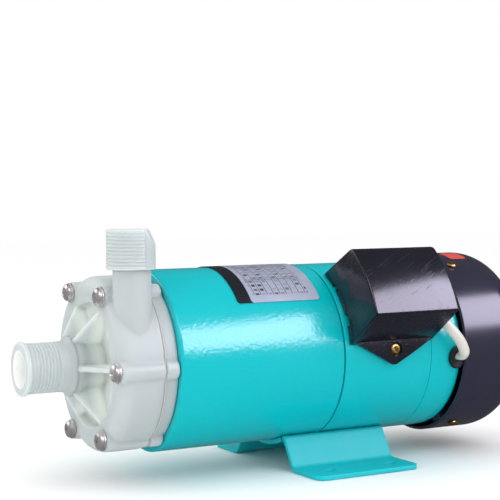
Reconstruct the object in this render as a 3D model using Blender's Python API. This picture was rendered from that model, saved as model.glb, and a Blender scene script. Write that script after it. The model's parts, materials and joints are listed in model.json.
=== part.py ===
"""Magnetic drive pump: a plastic wet end, a magnetic coupling and a fan-cooled motor on a sheet foot.

The pump axis is X. The inlet looks to -X and the motor's rear to +X, the near side is -Y and up is Z.
Inside this file x = 0 is the front face of the wet end's six screw bosses and the pump axis is y = z = 0.
The empty called pump then sets the whole assembly down, centred over the origin with its feet at z = 0.
Angles round the axis count from the near side (-Y) upwards, in degrees.
"""
from math import asin, cos, degrees, exp, log, pi, radians, sin, sqrt

import bmesh
import bpy
from mathutils import Matrix, Vector

MM = 0.001

# Clearances
SEAT = 0.3 * MM
SCREW_FIT = 0.35 * MM
AIR_GAP = 0.8 * MM
IMPELLER_GAP = 1.5 * MM
CAPSULE_GAP = 1.2 * MM
YOKE_GAP = 2.0 * MM
MAGNET_GAP = 2.0 * MM

# Roundness of the turned shapes
LARGE_SIDES = 28
MEDIUM_SIDES = 16
SMALL_SIDES = 10
HOLE_SIDES = 8

# Front casing with the inlet
CASING_R = 59.4 * MM
CASING_DEPTH = 31.0 * MM
CASING_FILLET = 9.0 * MM
CASING_RIM_SETBACK = 0.6 * MM
FRONT_WALL = 4.0 * MM
POCKET_R = 41.0 * MM
POCKET_DRAFT = 1.5 * MM
CHAMBER_R = 44.0 * MM
CHAMBER_DEPTH = 20.0 * MM
THROAT_R = 12.0 * MM
THROAT_FLARE = 1.5 * MM
INLET_TUBE_R = 17.0 * MM
INLET_REACH = 47.0 * MM
INLET_THREAD_R = 16.6 * MM
INLET_THREAD_END = 21.0 * MM
INLET_LIP_R = 18.1 * MM
INLET_LIP_WIDTH = 3.0 * MM
HUB_DISC_R = 21.0 * MM
HUB_DISC_BACK = 12.0 * MM
HUB_DISC_WIDTH = 3.5 * MM
RIB_THICKNESS = 3.0 * MM

# Outlet
OUTLET_X = 15.6 * MM
OUTLET_OFFSET = 42.0 * MM
OUTLET_TOP = 91.4 * MM
OUTLET_NECK_R = 12.5 * MM
OUTLET_BORE_R = 9.0 * MM
OUTLET_BORE_START = 20.0 * MM
OUTLET_COLLAR_R = 16.6 * MM
OUTLET_COLLAR_LENGTH = 26.2 * MM
OUTLET_CHAMFER = 1.5 * MM

# Screws that hold the wet end to the bracket
BOSS_COUNT = 6
BOSS_R = 7.2 * MM
BOSS_PITCH_R = 54.5 * MM
CASING_SCREW_R = 3.0 * MM
CASING_SCREW_HEAD_R = 6.0 * MM
CASING_SCREW_HEAD = 3.4 * MM
CASING_SCREW_BITE = 9.5 * MM
WASHER_R = 6.7 * MM
WASHER_THICKNESS = 1.2 * MM

# Casing seal
O_RING_R = 48.1 * MM
O_RING_SECTION_R = 1.4 * MM

# Rear casing with the isolation can
REAR_FLANGE_R = 57.5 * MM
REAR_FLANGE = 9.9 * MM
SPIGOT = 2.7 * MM
CAN_BORE_R = 31.5 * MM
CAN_WALL = 2.0 * MM
CAN_LENGTH = 64.0 * MM
CAN_END_WALL = 3.0 * MM
REGISTER_DEPTH = 2.0 * MM

# Spindle and its rings
SPINDLE_R = 4.5 * MM
SOCKET_WALL = 2.7 * MM
SOCKET_DEPTH = 6.0 * MM
REAR_SOCKET_DEPTH = 4.5 * MM
SPIDER_RIB = 2.4 * MM
THRUST_RING = 3.0 * MM
THRUST_RING_R = 8.0 * MM
MOUTH_RING_WALL = 3.2 * MM
MOUTH_RING_WIDTH = 2.2 * MM

# Impeller and inner magnet
IMPELLER_R = 38.0 * MM
EYE_R = 15.0 * MM
EYE_WALL = 2.4 * MM
SHROUD = 2.0 * MM
VANE_COUNT = 6
VANE_THICKNESS = 2.0 * MM
VANE_SWEEP = 78.0
BUSH_WALL = 2.4 * MM
HUB_WALL = 1.8 * MM
CAPSULE_WALL = 2.0 * MM
CAPSULE_COVER = 3.0 * MM
DRIVEN_MAGNET = 5.0 * MM
DRIVEN_YOKE = 7.0 * MM
MAGNET_POLES = 8
MAGNET_GROOVE = 1.4 * MM

# Outer magnet and its yoke
DRIVE_MAGNET = 6.0 * MM
YOKE_WALL = 4.3 * MM
YOKE_FLOOR = 4.5 * MM
YOKE_END_GAP = 4.5 * MM
YOKE_FRONT_GAP = 6.0 * MM
YOKE_HUB_R = 14.0 * MM
YOKE_HUB = 10.0 * MM
SET_SCREW_R = 2.5 * MM

# Motor body
MOTOR_R = 62.5 * MM
SHELL_WALL = 3.6 * MM
BRACKET_WALL = 4.0 * MM
BRACKET_FLANGE = 12.0 * MM
BEARING_WALL = 6.0 * MM
BEARING_HUB_R = 22.0 * MM
BEARING_HUB_LEAD = 3.0 * MM
CORE_LENGTH = 69.0 * MM
CORE_INSET = 2.35 * MM
CORE_BORE_R = 32.0 * MM
CORE_SLOTS = 18
SLOT_DEPTH = 17.0 * MM
SLOT_WIDTH = 4.0 * MM
WINDING_INNER_R = 36.0 * MM
WINDING_OUTER_R = 48.0 * MM
WINDING_FRONT = 21.5 * MM
WINDING_REAR = 18.0 * MM
WINDING_GAP = 15.6 * MM
BELL_GAP = 8.7 * MM
BELL_WALL = 4.0 * MM
BELL_SHOULDER = 6.0 * MM
BOLT_PITCH_R = 54.2 * MM
BOLT_R = 2.5 * MM
BOLT_BOSS_R = 5.2 * MM
BOLT_BITE = 14.0 * MM
BOLT_HEAD_R = 4.6 * MM
BOLT_HEAD = 3.5 * MM

# Shaft, bearings and rotor
SHAFT_R = 10.0 * MM
JOURNAL_R = 7.5 * MM
SHAFT_END_R = 7.0 * MM
BEARING_R = 17.5 * MM
BEARING_WIDTH = 11.0 * MM
BEARING_RING = 2.9 * MM
BEARING_SHOULDER = 2.0 * MM
WAVE_WASHER = 0.8 * MM
END_RING_R = 29.5 * MM
END_RING_WIDTH = 6.0 * MM

# Fan and its cover
FAN_R = 57.0 * MM
FAN_WIDTH = 28.0 * MM
FAN_HUB_R = 13.0 * MM
FAN_DISC_R = 38.0 * MM
FAN_BLADES = 8
FAN_BLADE = 2.0 * MM
FAN_GAP = 4.0 * MM
CLIP_R = 9.5 * MM
CLIP_THICKNESS = 1.0 * MM
COVER_R = 67.3 * MM
COVER_WALL = 2.3 * MM
COVER_LENGTH = 65.6 * MM
COVER_OVERLAP = 1.6 * MM
COVER_CORNER = 28.0 * MM
COVER_SCREW_SETBACK = 13.6 * MM
COVER_SCREW_ANGLES = (61.0, 119.0, -61.0, -119.0)
COVER_SCREW_R = 2.0 * MM
COVER_SCREW_HEAD_R = 3.6 * MM
COVER_SCREW_HEAD = 2.2 * MM
LUG_WIDTH = 10.0 * MM
LUG_DEPTH = 12.0 * MM
LUG_LENGTH = 21.5 * MM
GRILLE_SLOTS = 16
GRILLE_INNER_R = 17.0 * MM
GRILLE_OUTER_R = 50.0 * MM
GRILLE_SLOT = 4.0 * MM

# Foot
AXIS_HEIGHT = 80.0 * MM
BASE_WIDTH = 155.0 * MM
BASE_LENGTH = 82.5 * MM
BASE_LEAD = 30.2 * MM
BASE_SHEET = 3.0 * MM
BASE_BEND_Y = 42.5 * MM
BASE_SADDLE_ANGLE = 28.0
BASE_CORNER = 7.0 * MM
FOOT_HOLE_INSET = 18.0 * MM
FOOT_HOLE_REAR_INSET = 14.5 * MM
FOOT_HOLE_EDGE = 15.0 * MM
FOOT_HOLE_R = 4.0 * MM
BASE_SCREW_INSET = 12.0 * MM
BASE_SCREW_ANGLE = 15.0
BASE_SCREW_R = 2.4 * MM
BASE_SCREW_HEAD_R = 4.4 * MM
BASE_SCREW_HEAD = 3.0 * MM

# Terminal box
HOOD_LEAD = 5.35 * MM
HOOD_LENGTH = 69.0 * MM
HOOD_R = 99.5 * MM
HOOD_TOP_ANGLE = 50.0
HOOD_BOTTOM_ANGLE = 18.3
HOOD_TOP_FOOT_ANGLE = 63.0
HOOD_BOTTOM_FOOT_ANGLE = 7.0
HOOD_WALL = 2.6 * MM
HOOD_EDGE = 4.0 * MM
FLAP_TIP_ANGLE = -6.0
FLAP_TIP_X = 33.5 * MM
FLAP_TIP_WIDTH = 4.0 * MM
FLAP_THICKNESS = 3.8 * MM
FLAP_FLOOR = 1.5 * MM
FLAP_SCREW_X = 35.0 * MM
FLAP_SCREW_ANGLE = 3.2
FLAP_SCREW_R = 2.0 * MM
FLAP_SCREW_HEAD_R = 4.6 * MM
FLAP_SCREW_HEAD = 2.0 * MM
CAPACITOR_HEADROOM = 5.0 * MM
CAPACITOR_BAY = 33.5 * MM
CAPACITOR_FILL = 0.852
CAPACITOR_LENGTH = 52.0 * MM
CAPACITOR_ANGLE = 39.0
CAPACITOR_STANDOFF = 3.0 * MM
CLIP_BAND = 1.0 * MM
CLIP_BAND_WIDTH = 14.0 * MM
TERMINAL_ANGLE = 22.0
TERMINAL_LENGTH = 40.0 * MM
TERMINAL_WIDTH = 13.0 * MM
TERMINAL_HEIGHT_SHARE = 0.3226
TERMINAL_SCREWS = 4
TERMINAL_SCREW_R = 2.2 * MM
TERMINAL_POCKET_R = 3.4 * MM

# Lead from the terminal box to the rear end bell, and the cable inlet
LEAD_R = 3.8 * MM
LEAD_HOLE_FIT = 1.2 * MM
LEAD_EXIT_R = 72.0 * MM
LEAD_EXIT_ANGLE = 19.0
LEAD_TUCK = 9.0 * MM
LEAD_STRAIGHT = 3.0 * MM
LEAD_DROP_X = 14.0 * MM
LEAD_DROP_R = 73.5 * MM
LEAD_BELLY_X = 22.0 * MM
LEAD_BELLY_R = 76.5 * MM
LEAD_ENTRY_R = 68.0 * MM
LEAD_END_DEPTH = 6.0 * MM
GROMMET_SETBACK = 9.5 * MM
GROMMET_ANGLE = -6.0
GROMMET_FLANGE_R = 7.4 * MM
GROMMET_FLANGE = 1.5 * MM
GROMMET_WALL = 1.6 * MM
INLET_GROMMET_ANGLE = 41.0
INLET_GROMMET_R = 4.5 * MM

# Nameplate
PLATE_THICKNESS = 0.4 * MM
NAMEPLATE_SETBACK = 11.3 * MM
NAMEPLATE_LENGTH = 64.4 * MM
NAMEPLATE_ANGLES = (39.5, 120.0)

# Stations along the axis, front to rear
CHAMBER_X = CASING_DEPTH - CHAMBER_DEPTH
POCKET_X = CHAMBER_X - FRONT_WALL
REAR_CASING_X = CASING_DEPTH + SEAT
SPIGOT_X = CASING_DEPTH - SPIGOT
BRACKET_X = REAR_CASING_X + REAR_FLANGE + SEAT
CAN_END_X = CASING_DEPTH + CAN_LENGTH
CAN_R = CAN_BORE_R + CAN_WALL
YOKE_FLOOR_X = CAN_END_X + YOKE_END_GAP
YOKE_END_X = YOKE_FLOOR_X + YOKE_FLOOR + YOKE_HUB
FRONT_HUB_X = YOKE_END_X + BEARING_HUB_LEAD
FRONT_BEARING_X = FRONT_HUB_X + BEARING_SHOULDER + SEAT
FRONT_HUB_END_X = FRONT_BEARING_X + BEARING_WIDTH + SEAT
WINDING_FRONT_X = FRONT_HUB_END_X + WINDING_GAP
CORE_X = WINDING_FRONT_X + WINDING_FRONT + SEAT
CORE_END_X = CORE_X + CORE_LENGTH
SEAM_1_X = CORE_X - CORE_INSET
SEAM_2_X = CORE_END_X + CORE_INSET
WINDING_REAR_END_X = CORE_END_X + SEAT + WINDING_REAR
BELL_FLOOR_X = WINDING_REAR_END_X + BELL_GAP
BELL_END_X = BELL_FLOOR_X + BELL_WALL
BELL_SHOULDER_X = BELL_FLOOR_X - BEARING_SHOULDER
REAR_BEARING_X = BELL_SHOULDER_X - SEAT - WAVE_WASHER - SEAT - BEARING_WIDTH
COVER_X = BELL_END_X - COVER_OVERLAP
COVER_END_X = COVER_X + COVER_LENGTH
LUG_END_X = COVER_X + LUG_LENGTH
FAN_X = LUG_END_X + FAN_GAP
FAN_END_X = FAN_X + FAN_WIDTH
CLIP_X = FAN_END_X + SEAT
SHAFT_END_X = CLIP_X + 3 * CLIP_THICKNESS
BASE_X = SEAM_1_X - BASE_LEAD
HOOD_X = SEAM_1_X + HOOD_LEAD
HOOD_END_X = HOOD_X + HOOD_LENGTH

# Radii that follow from the parts they fit
YOKE_MAGNET_R = CAN_R + MAGNET_GAP
YOKE_BORE_R = YOKE_MAGNET_R + DRIVE_MAGNET + SEAT
YOKE_R = YOKE_BORE_R + YOKE_WALL
BRACKET_BORE_R = YOKE_R + YOKE_GAP
SHELL_BORE_R = MOTOR_R - SHELL_WALL
CORE_R = SHELL_BORE_R - 2 * SEAT
ROTOR_R = CORE_BORE_R - AIR_GAP
CAPSULE_R = CAN_BORE_R - CAPSULE_GAP
BODY_SEAT_R = MOTOR_R + SEAT
BUSH_R = SPINDLE_R + SEAT + BUSH_WALL
IMPELLER_HUB_R = BUSH_R + SEAT + HUB_WALL

# The mouth ring sits round the impeller's eye ring, and the spindle sockets face each other
EYE_RING_R = EYE_R + EYE_WALL
MOUTH_RING_BORE_R = EYE_RING_R + 2 * SEAT
MOUTH_RING_R = MOUTH_RING_BORE_R + MOUTH_RING_WALL
SOCKET_END_X = CHAMBER_X - MOUTH_RING_WIDTH - 2 * SEAT
SOCKET_X = SOCKET_END_X - SOCKET_DEPTH
REAR_SOCKET_X = CAN_END_X - CAN_END_WALL + SEAT
REAR_SOCKET_FRONT_X = REAR_SOCKET_X - SEAT - REAR_SOCKET_DEPTH
BUSH_X = SOCKET_END_X + SEAT + THRUST_RING + SEAT
CAPSULE_END_X = REAR_SOCKET_FRONT_X - SEAT - THRUST_RING - SEAT
REGISTER_END_X = REAR_CASING_X + REAR_FLANGE + REGISTER_DEPTH

# Places of the smaller fittings
COVER_BORE_R = COVER_R - COVER_WALL
LUG_CORNER_R = COVER_BORE_R * cos(pi / LARGE_SIDES) - SEAT
LUG_TOP_R = sqrt(LUG_CORNER_R ** 2 - (LUG_WIDTH / 2) ** 2)
GROMMET_X = BELL_END_X - GROMMET_SETBACK
GROMMET_NECK_R = LEAD_R + SEAT + GROMMET_WALL
FLAP_SEAT_R = BODY_SEAT_R + FLAP_FLOOR
HOOD_MIDDLE_R = (BODY_SEAT_R + HOOD_R) / 2
HOOD_ROOM = HOOD_R - HOOD_WALL - BODY_SEAT_R
TERMINAL_HEIGHT = TERMINAL_HEIGHT_SHARE * HOOD_ROOM

# The capacitor fills the depth and the width of its bay under the hood, whichever is the tighter
CAPACITOR_DEPTH = HOOD_ROOM - CAPACITOR_STANDOFF - CAPACITOR_HEADROOM
CAPACITOR_R = CAPACITOR_FILL * CAPACITOR_DEPTH * CAPACITOR_BAY / (CAPACITOR_DEPTH + CAPACITOR_BAY)
FOOT_HOLE_XS = (BASE_X + FOOT_HOLE_INSET, BASE_X + BASE_LENGTH - FOOT_HOLE_REAR_INSET)
FOOT_HOLE_Y = BASE_WIDTH / 2 - FOOT_HOLE_EDGE
BASE_SCREW_XS = (BASE_X + BASE_SCREW_INSET, BASE_X + BASE_LENGTH - BASE_SCREW_INSET)
BASE_SCREW_PLACES = (-90 - BASE_SCREW_ANGLE, -90 + BASE_SCREW_ANGLE)

# Where the assembly stands: centred over the origin, feet at z = 0
NEAR_REACH = HOOD_R * cos(radians(HOOD_BOTTOM_ANGLE))
PUMP_PLACE = (
    (INLET_REACH - COVER_END_X) / 2,
    (NEAR_REACH - BASE_WIDTH / 2) / 2,
    AXIS_HEIGHT,
)

# The facets of a body and of its cutter start at different angles, so that no two edges coincide
BODY_TURN = Matrix.Rotation(radians(2.5), 4, "X")
CUTTER_TURN = Matrix.Rotation(radians(7.5), 4, "X")

BOSS_ANGLES = [360.0 / BOSS_COUNT * k for k in range(BOSS_COUNT)]
BOLT_ANGLES = [45.0, 135.0, 225.0, 315.0]


def clear_scene():
    for item in list(bpy.data.objects):
        bpy.data.objects.remove(item, do_unlink=True)
    for mesh in list(bpy.data.meshes):
        bpy.data.meshes.remove(mesh)
    for item in list(bpy.data.materials):
        bpy.data.materials.remove(item)


def linear(channel):
    """One sRGB channel from 0 to 1 as a linear value."""
    return channel / 12.92 if channel <= 0.04045 else ((channel + 0.055) / 1.055) ** 2.4


def make_material(name, hex_colour, roughness, metallic):
    material = bpy.data.materials.new(name)
    material.use_nodes = True
    shader = material.node_tree.nodes["Principled BSDF"]
    channels = [int(hex_colour[k:k + 2], 16) / 255 for k in (0, 2, 4)]
    shader.inputs["Base Color"].default_value = [linear(c) for c in channels] + [1.0]
    shader.inputs["Roughness"].default_value = roughness
    shader.inputs["Metallic"].default_value = metallic
    return material


def empty(name, parent=None):
    item = bpy.data.objects.new(name, None)
    item.empty_display_size = 20 * MM
    item.parent = parent
    bpy.context.scene.collection.objects.link(item)
    return item


def link_mesh(name, bm, parent):
    """Makes an object of a bmesh, smooth where its faces meet at a low angle."""
    mesh = bpy.data.meshes.new(name)
    bm.to_mesh(mesh)
    bm.free()
    mesh.shade_smooth()
    mesh.set_sharp_from_angle(angle=radians(35))
    item = bpy.data.objects.new(name, mesh)
    item.parent = parent
    bpy.context.scene.collection.objects.link(item)
    return item


def add_part(name, bm, material, parent):
    part = link_mesh(name, bm, parent)
    part.data.materials.append(material)
    return part


def add_copies(name, bm, material, parent, places):
    """One object for each place, numbered from 1, all with the same mesh."""
    first = add_part(f"{name}_1", bm, material, parent)
    first.matrix_local = places[0]
    for number, place in enumerate(places[1:], 2):
        copy = bpy.data.objects.new(f"{name}_{number}", first.data)
        copy.parent = parent
        copy.matrix_local = place
        bpy.context.scene.collection.objects.link(copy)


def combine(part, bm, operation, solver="EXACT"):
    """Adds a Boolean to a part; the second shape is a hidden guide object."""
    count = len(part.modifiers) + 1
    guide = link_mesh(f"{part.name}_guide_{count}", bm, part.parent)
    guide.hide_render = True
    guide.display_type = "WIRE"
    modifier = part.modifiers.new(f"{operation.lower()}_{count}", "BOOLEAN")
    modifier.operation = operation
    modifier.solver = solver
    modifier.object = guide


def join(part, bm):
    combine(part, bm, "UNION")


def cut(part, bm):
    combine(part, bm, "DIFFERENCE")


def absorb(bm, body, place):
    """Moves a finished body to its place and adds it to a bmesh as one more island."""
    if place is not None:
        bmesh.ops.transform(body, matrix=place, verts=body.verts)
    bmesh.ops.recalc_face_normals(body, faces=body.faces)
    mesh = bpy.data.meshes.new("body")
    body.to_mesh(mesh)
    body.free()
    bm.from_mesh(mesh)
    bpy.data.meshes.remove(mesh)


def turn(bm, profile, sides, place=None, along="X"):
    """Turns a profile of (distance along the axis, radius) points into a closed body.

    A profile with no point on the axis is a closed loop and gives a ring. One that starts and ends
    on the axis is an open chain and gives a solid body.
    """
    if place is None:
        place = BODY_TURN
    axis = Vector((1, 0, 0)) if along == "X" else Vector((0, 0, 1))
    side = Vector((0, -1, 0)) if along == "X" else Vector((1, 0, 0))
    body = bmesh.new()
    verts = [body.verts.new(axis * distance + side * radius) for distance, radius in profile]
    is_ring = all(radius > 0 for _, radius in profile)
    chain = verts + verts[:1] if is_ring else verts
    edges = [body.edges.new(pair) for pair in zip(chain, chain[1:])]
    bmesh.ops.spin(body, geom=verts + edges, cent=(0, 0, 0), axis=axis, angle=2 * pi, steps=sides,
                   use_merge=True)
    bmesh.ops.remove_doubles(body, verts=body.verts, dist=0.0001 * MM)
    absorb(bm, body, place)


def loft(bm, loops, place=None):
    """Joins closed loops of equally many points, one after another, and caps both ends."""
    body = bmesh.new()
    rows = [[body.verts.new(point) for point in loop] for loop in loops]
    size = len(rows[0])
    for row, following in zip(rows, rows[1:]):
        for k in range(size):
            after = (k + 1) % size
            body.faces.new((row[k], row[after], following[after], following[k]))
    body.faces.new(rows[0])
    body.faces.new(rows[-1])
    absorb(bm, body, place)


def extrude(bm, outline, start, end, along="X", place=None):
    """Extrudes an outline along X, Y or Z; its points are given in the other two axes."""
    order = {"X": lambda a, b, t: (t, a, b), "Y": lambda a, b, t: (a, t, b), "Z": lambda a, b, t: (a, b, t)}
    point = order[along]
    loft(bm, [[point(a, b, t) for a, b in outline] for t in (start, end)], place)


def box(bm, low, high, place=None):
    outline = [(low[0], low[1]), (high[0], low[1]), (high[0], high[1]), (low[0], high[1])]
    extrude(bm, outline, low[2], high[2], "Z", place)


def rod(bm, start, end, radius, sides, place=None, along="X"):
    turn(bm, [(start, 0), (start, radius), (end, radius), (end, 0)], sides, place, along)


def ring(bm, start, end, inner, outer, sides, place=None, along="X"):
    turn(bm, [(start, inner), (start, outer), (end, outer), (end, inner)], sides, place, along)


def arc(centre, radius, start, end, steps):
    """Points on an arc round a centre, from one angle to another in degrees, both ends included."""
    angles = [radians(start + (end - start) * k / steps) for k in range(steps + 1)]
    return [(centre[0] + radius * cos(a), centre[1] + radius * sin(a)) for a in angles]


def around(radius, start, end, steps):
    """Points (y, z) on a circle round the pump axis, between two angles from the near side."""
    return [(-y, z) for y, z in arc((0, 0), radius, start, end, steps)]


def spot(x, angle, radius=0.0):
    """A frame at a place round the axis: its X is the pump's, its Z points outwards."""
    a = radians(angle)
    outward = Vector((0, -cos(a), sin(a)))
    sideways = Vector((0, sin(a), cos(a)))
    place = Matrix((Vector((1, 0, 0)), sideways, outward)).transposed().to_4x4()
    place.translation = Vector((x, 0, 0)) + outward * radius
    return place


def screw(seat, length, shank_r, head_r, head, along="Z", sides=SMALL_SIDES):
    """A pan-head screw whose head stands on the seat and whose shank runs the other way."""
    bm = bmesh.new()
    turn(bm, [
        (seat - length, 0),
        (seat - length, shank_r),
        (seat, shank_r),
        (seat, head_r),
        (seat + head, 0.75 * head_r),
        (seat + head, 0),
    ], sides, Matrix.Identity(4), along)
    return bm


def magnet_ring(name, inner, outer, start, end, groove_r, material, parent):
    """A ring magnet with a shallow groove between its poles on the face at groove_r."""
    bm = bmesh.new()
    ring(bm, start, end, inner, outer, MEDIUM_SIDES)
    magnet = add_part(name, bm, material, parent)
    bm = bmesh.new()
    half = MAGNET_GROOVE / 2
    for k in range(MAGNET_POLES):
        angle = 360.0 / MAGNET_POLES * (k + 0.5)
        box(bm, (start - MAGNET_GROOVE, -half, groove_r - MAGNET_GROOVE),
            (end + MAGNET_GROOVE, half, groove_r + MAGNET_GROOVE), spot(0, angle))
    cut(magnet, bm)
    return magnet


def make_front_casing(material, parent):
    """Ribbed dish, inlet branch, tangential outlet branch and the spider that holds the spindle."""
    bm = bmesh.new()
    rim_r = CASING_R - CASING_FILLET
    corner = arc((CASING_RIM_SETBACK + CASING_FILLET, rim_r), CASING_FILLET, 180, 90, 3)
    turn(bm, [(CASING_RIM_SETBACK, 0)] + corner + [(CASING_DEPTH, CASING_R), (CASING_DEPTH, 0)], LARGE_SIDES)
    casing = add_part("front_casing", bm, material, parent)

    bm = bmesh.new()
    outlet = Matrix.Translation((OUTLET_X, -OUTLET_OFFSET, 0))
    neck_start = OUTLET_NECK_R
    collar = OUTLET_TOP - OUTLET_COLLAR_LENGTH
    turn(bm, [
        (neck_start, 0),
        (neck_start, OUTLET_NECK_R),
        (collar, OUTLET_NECK_R),
        (collar, OUTLET_COLLAR_R),
        (OUTLET_TOP - OUTLET_CHAMFER, OUTLET_COLLAR_R),
        (OUTLET_TOP, OUTLET_COLLAR_R - OUTLET_CHAMFER),
        (OUTLET_TOP, 0),
    ], MEDIUM_SIDES, outlet, "Z")
    join(casing, bm)

    bm = bmesh.new()
    pocket_mouth = -CASING_FILLET
    draft = POCKET_DRAFT / POCKET_X
    mouth_r = POCKET_R + draft * (POCKET_X - pocket_mouth)
    turn(bm, [(pocket_mouth, 0), (pocket_mouth, mouth_r), (POCKET_X, POCKET_R), (POCKET_X, 0)],
         LARGE_SIDES, CUTTER_TURN)
    cut(casing, bm)

    bm = bmesh.new()
    hub_back = -HUB_DISC_BACK
    hub_front = hub_back - HUB_DISC_WIDTH
    inside = POCKET_X + FRONT_WALL / 2
    turn(bm, [
        (-INLET_REACH, 0),
        (-INLET_REACH, INLET_LIP_R),
        (INLET_LIP_WIDTH - INLET_REACH, INLET_LIP_R),
        (INLET_LIP_WIDTH - INLET_REACH, INLET_THREAD_R),
        (-INLET_THREAD_END, INLET_THREAD_R),
        (hub_front, HUB_DISC_R),
        (hub_back, HUB_DISC_R),
        (hub_back, INLET_TUBE_R),
        (inside, INLET_TUBE_R),
        (inside, 0),
    ], MEDIUM_SIDES)
    join(casing, bm)

    bm = bmesh.new()
    rib_root = (THROAT_R + INLET_TUBE_R) / 2
    rib_end = POCKET_R + 3 * POCKET_DRAFT
    for angle in BOSS_ANGLES:
        outline = [
            (hub_front + HUB_DISC_WIDTH / 2, rib_root),
            (hub_front + HUB_DISC_WIDTH / 2, HUB_DISC_R - SEAT),
            (CASING_RIM_SETBACK + POCKET_DRAFT, rib_end),
            (inside - SEAT, rib_end),
            (inside - SEAT, rib_root),
        ]
        extrude(bm, outline, -RIB_THICKNESS / 2, RIB_THICKNESS / 2, "Y", spot(0, angle))
    join(casing, bm)

    bm = bmesh.new()
    for angle in BOSS_ANGLES:
        rod(bm, 0, CASING_DEPTH - SEAT, BOSS_R, SMALL_SIDES, spot(0, angle, BOSS_PITCH_R))
    join(casing, bm)

    bm = bmesh.new()
    past_inlet = -INLET_REACH - THROAT_R
    past_parting = CASING_DEPTH + THROAT_R
    mouth_seat_x = CHAMBER_X - MOUTH_RING_WIDTH - SEAT
    mouth_seat_r = MOUTH_RING_R + SEAT
    turn(bm, [
        (past_inlet, 0),
        (past_inlet, THROAT_R),
        (mouth_seat_x, THROAT_R + THROAT_FLARE),
        (mouth_seat_x, mouth_seat_r),
        (CHAMBER_X, mouth_seat_r),
        (CHAMBER_X, CHAMBER_R),
        (past_parting, CHAMBER_R),
        (past_parting, 0),
    ], LARGE_SIDES, CUTTER_TURN)
    ring(bm, CASING_DEPTH - 2 * O_RING_SECTION_R - SEAT, past_parting,
         O_RING_R - O_RING_SECTION_R - SEAT, O_RING_R + O_RING_SECTION_R + SEAT, LARGE_SIDES, CUTTER_TURN)
    cut(casing, bm)

    bm = bmesh.new()
    rod(bm, OUTLET_BORE_START, OUTLET_TOP + OUTLET_BORE_R, OUTLET_BORE_R, MEDIUM_SIDES, outlet, "Z")
    for angle in BOSS_ANGLES:
        hole = spot(0, angle, BOSS_PITCH_R)
        rod(bm, -BOSS_R, CASING_DEPTH + BOSS_R, CASING_SCREW_R + SCREW_FIT, HOLE_SIDES, hole)
    cut(casing, bm)

    bm = bmesh.new()
    socket_r = SPINDLE_R + SEAT + SOCKET_WALL
    nose = SOCKET_X - SOCKET_WALL
    turn(bm, [
        (nose - SPINDLE_R, 0),
        (nose - 0.7 * SPINDLE_R, 0.6 * SPINDLE_R),
        (nose, socket_r),
        (SOCKET_END_X, socket_r),
        (SOCKET_END_X, SPINDLE_R + SEAT),
        (SOCKET_X, SPINDLE_R + SEAT),
        (SOCKET_X, 0),
    ], SMALL_SIDES)
    combine(casing, bm, "UNION", "MANIFOLD")

    bm = bmesh.new()
    rib_front = SOCKET_X - SOCKET_WALL / 2
    rib_back = SOCKET_END_X - SEAT
    for angle in (30.0, 150.0, 270.0):
        box(bm, (rib_front, -SPIDER_RIB / 2, SPINDLE_R + 2 * SEAT),
            (rib_back, SPIDER_RIB / 2, THROAT_R + 2 * THROAT_FLARE), spot(0, angle))
    combine(casing, bm, "UNION", "MANIFOLD")
    return casing


def make_mouth_ring(material, parent):
    bm = bmesh.new()
    ring(bm, CHAMBER_X - MOUTH_RING_WIDTH, CHAMBER_X, MOUTH_RING_BORE_R, MOUTH_RING_R, MEDIUM_SIDES)
    return add_part("mouth_ring", bm, material, parent)


def make_casing_o_ring(material, parent):
    bm = bmesh.new()
    middle = CASING_DEPTH - O_RING_SECTION_R
    turn(bm, arc((middle, O_RING_R), O_RING_SECTION_R, 0, 270, 3), LARGE_SIDES, CUTTER_TURN)
    return add_part("casing_o_ring", bm, material, parent)


def make_rear_casing(material, parent):
    """Flange with the spigot, and the isolation can that the magnets drive through."""
    bm = bmesh.new()
    flange_end = REAR_CASING_X + REAR_FLANGE
    can_corner = 2 * CAN_WALL
    floor_x = CAN_END_X - CAN_END_WALL
    boss_r = SPINDLE_R + SEAT + SOCKET_WALL
    turn(bm, [
        (REAR_SOCKET_X, 0),
        (REAR_SOCKET_X, SPINDLE_R + SEAT),
        (REAR_SOCKET_FRONT_X, SPINDLE_R + SEAT),
        (REAR_SOCKET_FRONT_X, boss_r),
        (floor_x, boss_r),
        (floor_x, CAN_BORE_R - CAN_WALL),
        (floor_x - CAN_WALL, CAN_BORE_R),
        (SPIGOT_X, CAN_BORE_R),
        (SPIGOT_X, CHAMBER_R - 2 * SEAT),
        (REAR_CASING_X, CHAMBER_R - 2 * SEAT),
        (REAR_CASING_X, REAR_FLANGE_R),
        (flange_end, REAR_FLANGE_R),
        (flange_end, BRACKET_BORE_R - SEAT),
        (REGISTER_END_X, BRACKET_BORE_R - SEAT),
        (REGISTER_END_X, CAN_R),
        (CAN_END_X - can_corner, CAN_R),
        (CAN_END_X, CAN_R - can_corner),
        (CAN_END_X, 0),
    ], LARGE_SIDES)
    casing = add_part("rear_casing", bm, material, parent)
    bm = bmesh.new()
    for angle in BOSS_ANGLES:
        rod(bm, REAR_CASING_X + SEAT, flange_end - SEAT, BOSS_R, SMALL_SIDES, spot(0, angle, BOSS_PITCH_R))
    join(casing, bm)
    bm = bmesh.new()
    for angle in BOSS_ANGLES:
        rod(bm, REAR_CASING_X - BOSS_R, flange_end + BOSS_R, CASING_SCREW_R + SCREW_FIT, HOLE_SIDES,
            spot(0, angle, BOSS_PITCH_R))
    cut(casing, bm)
    return casing


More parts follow.
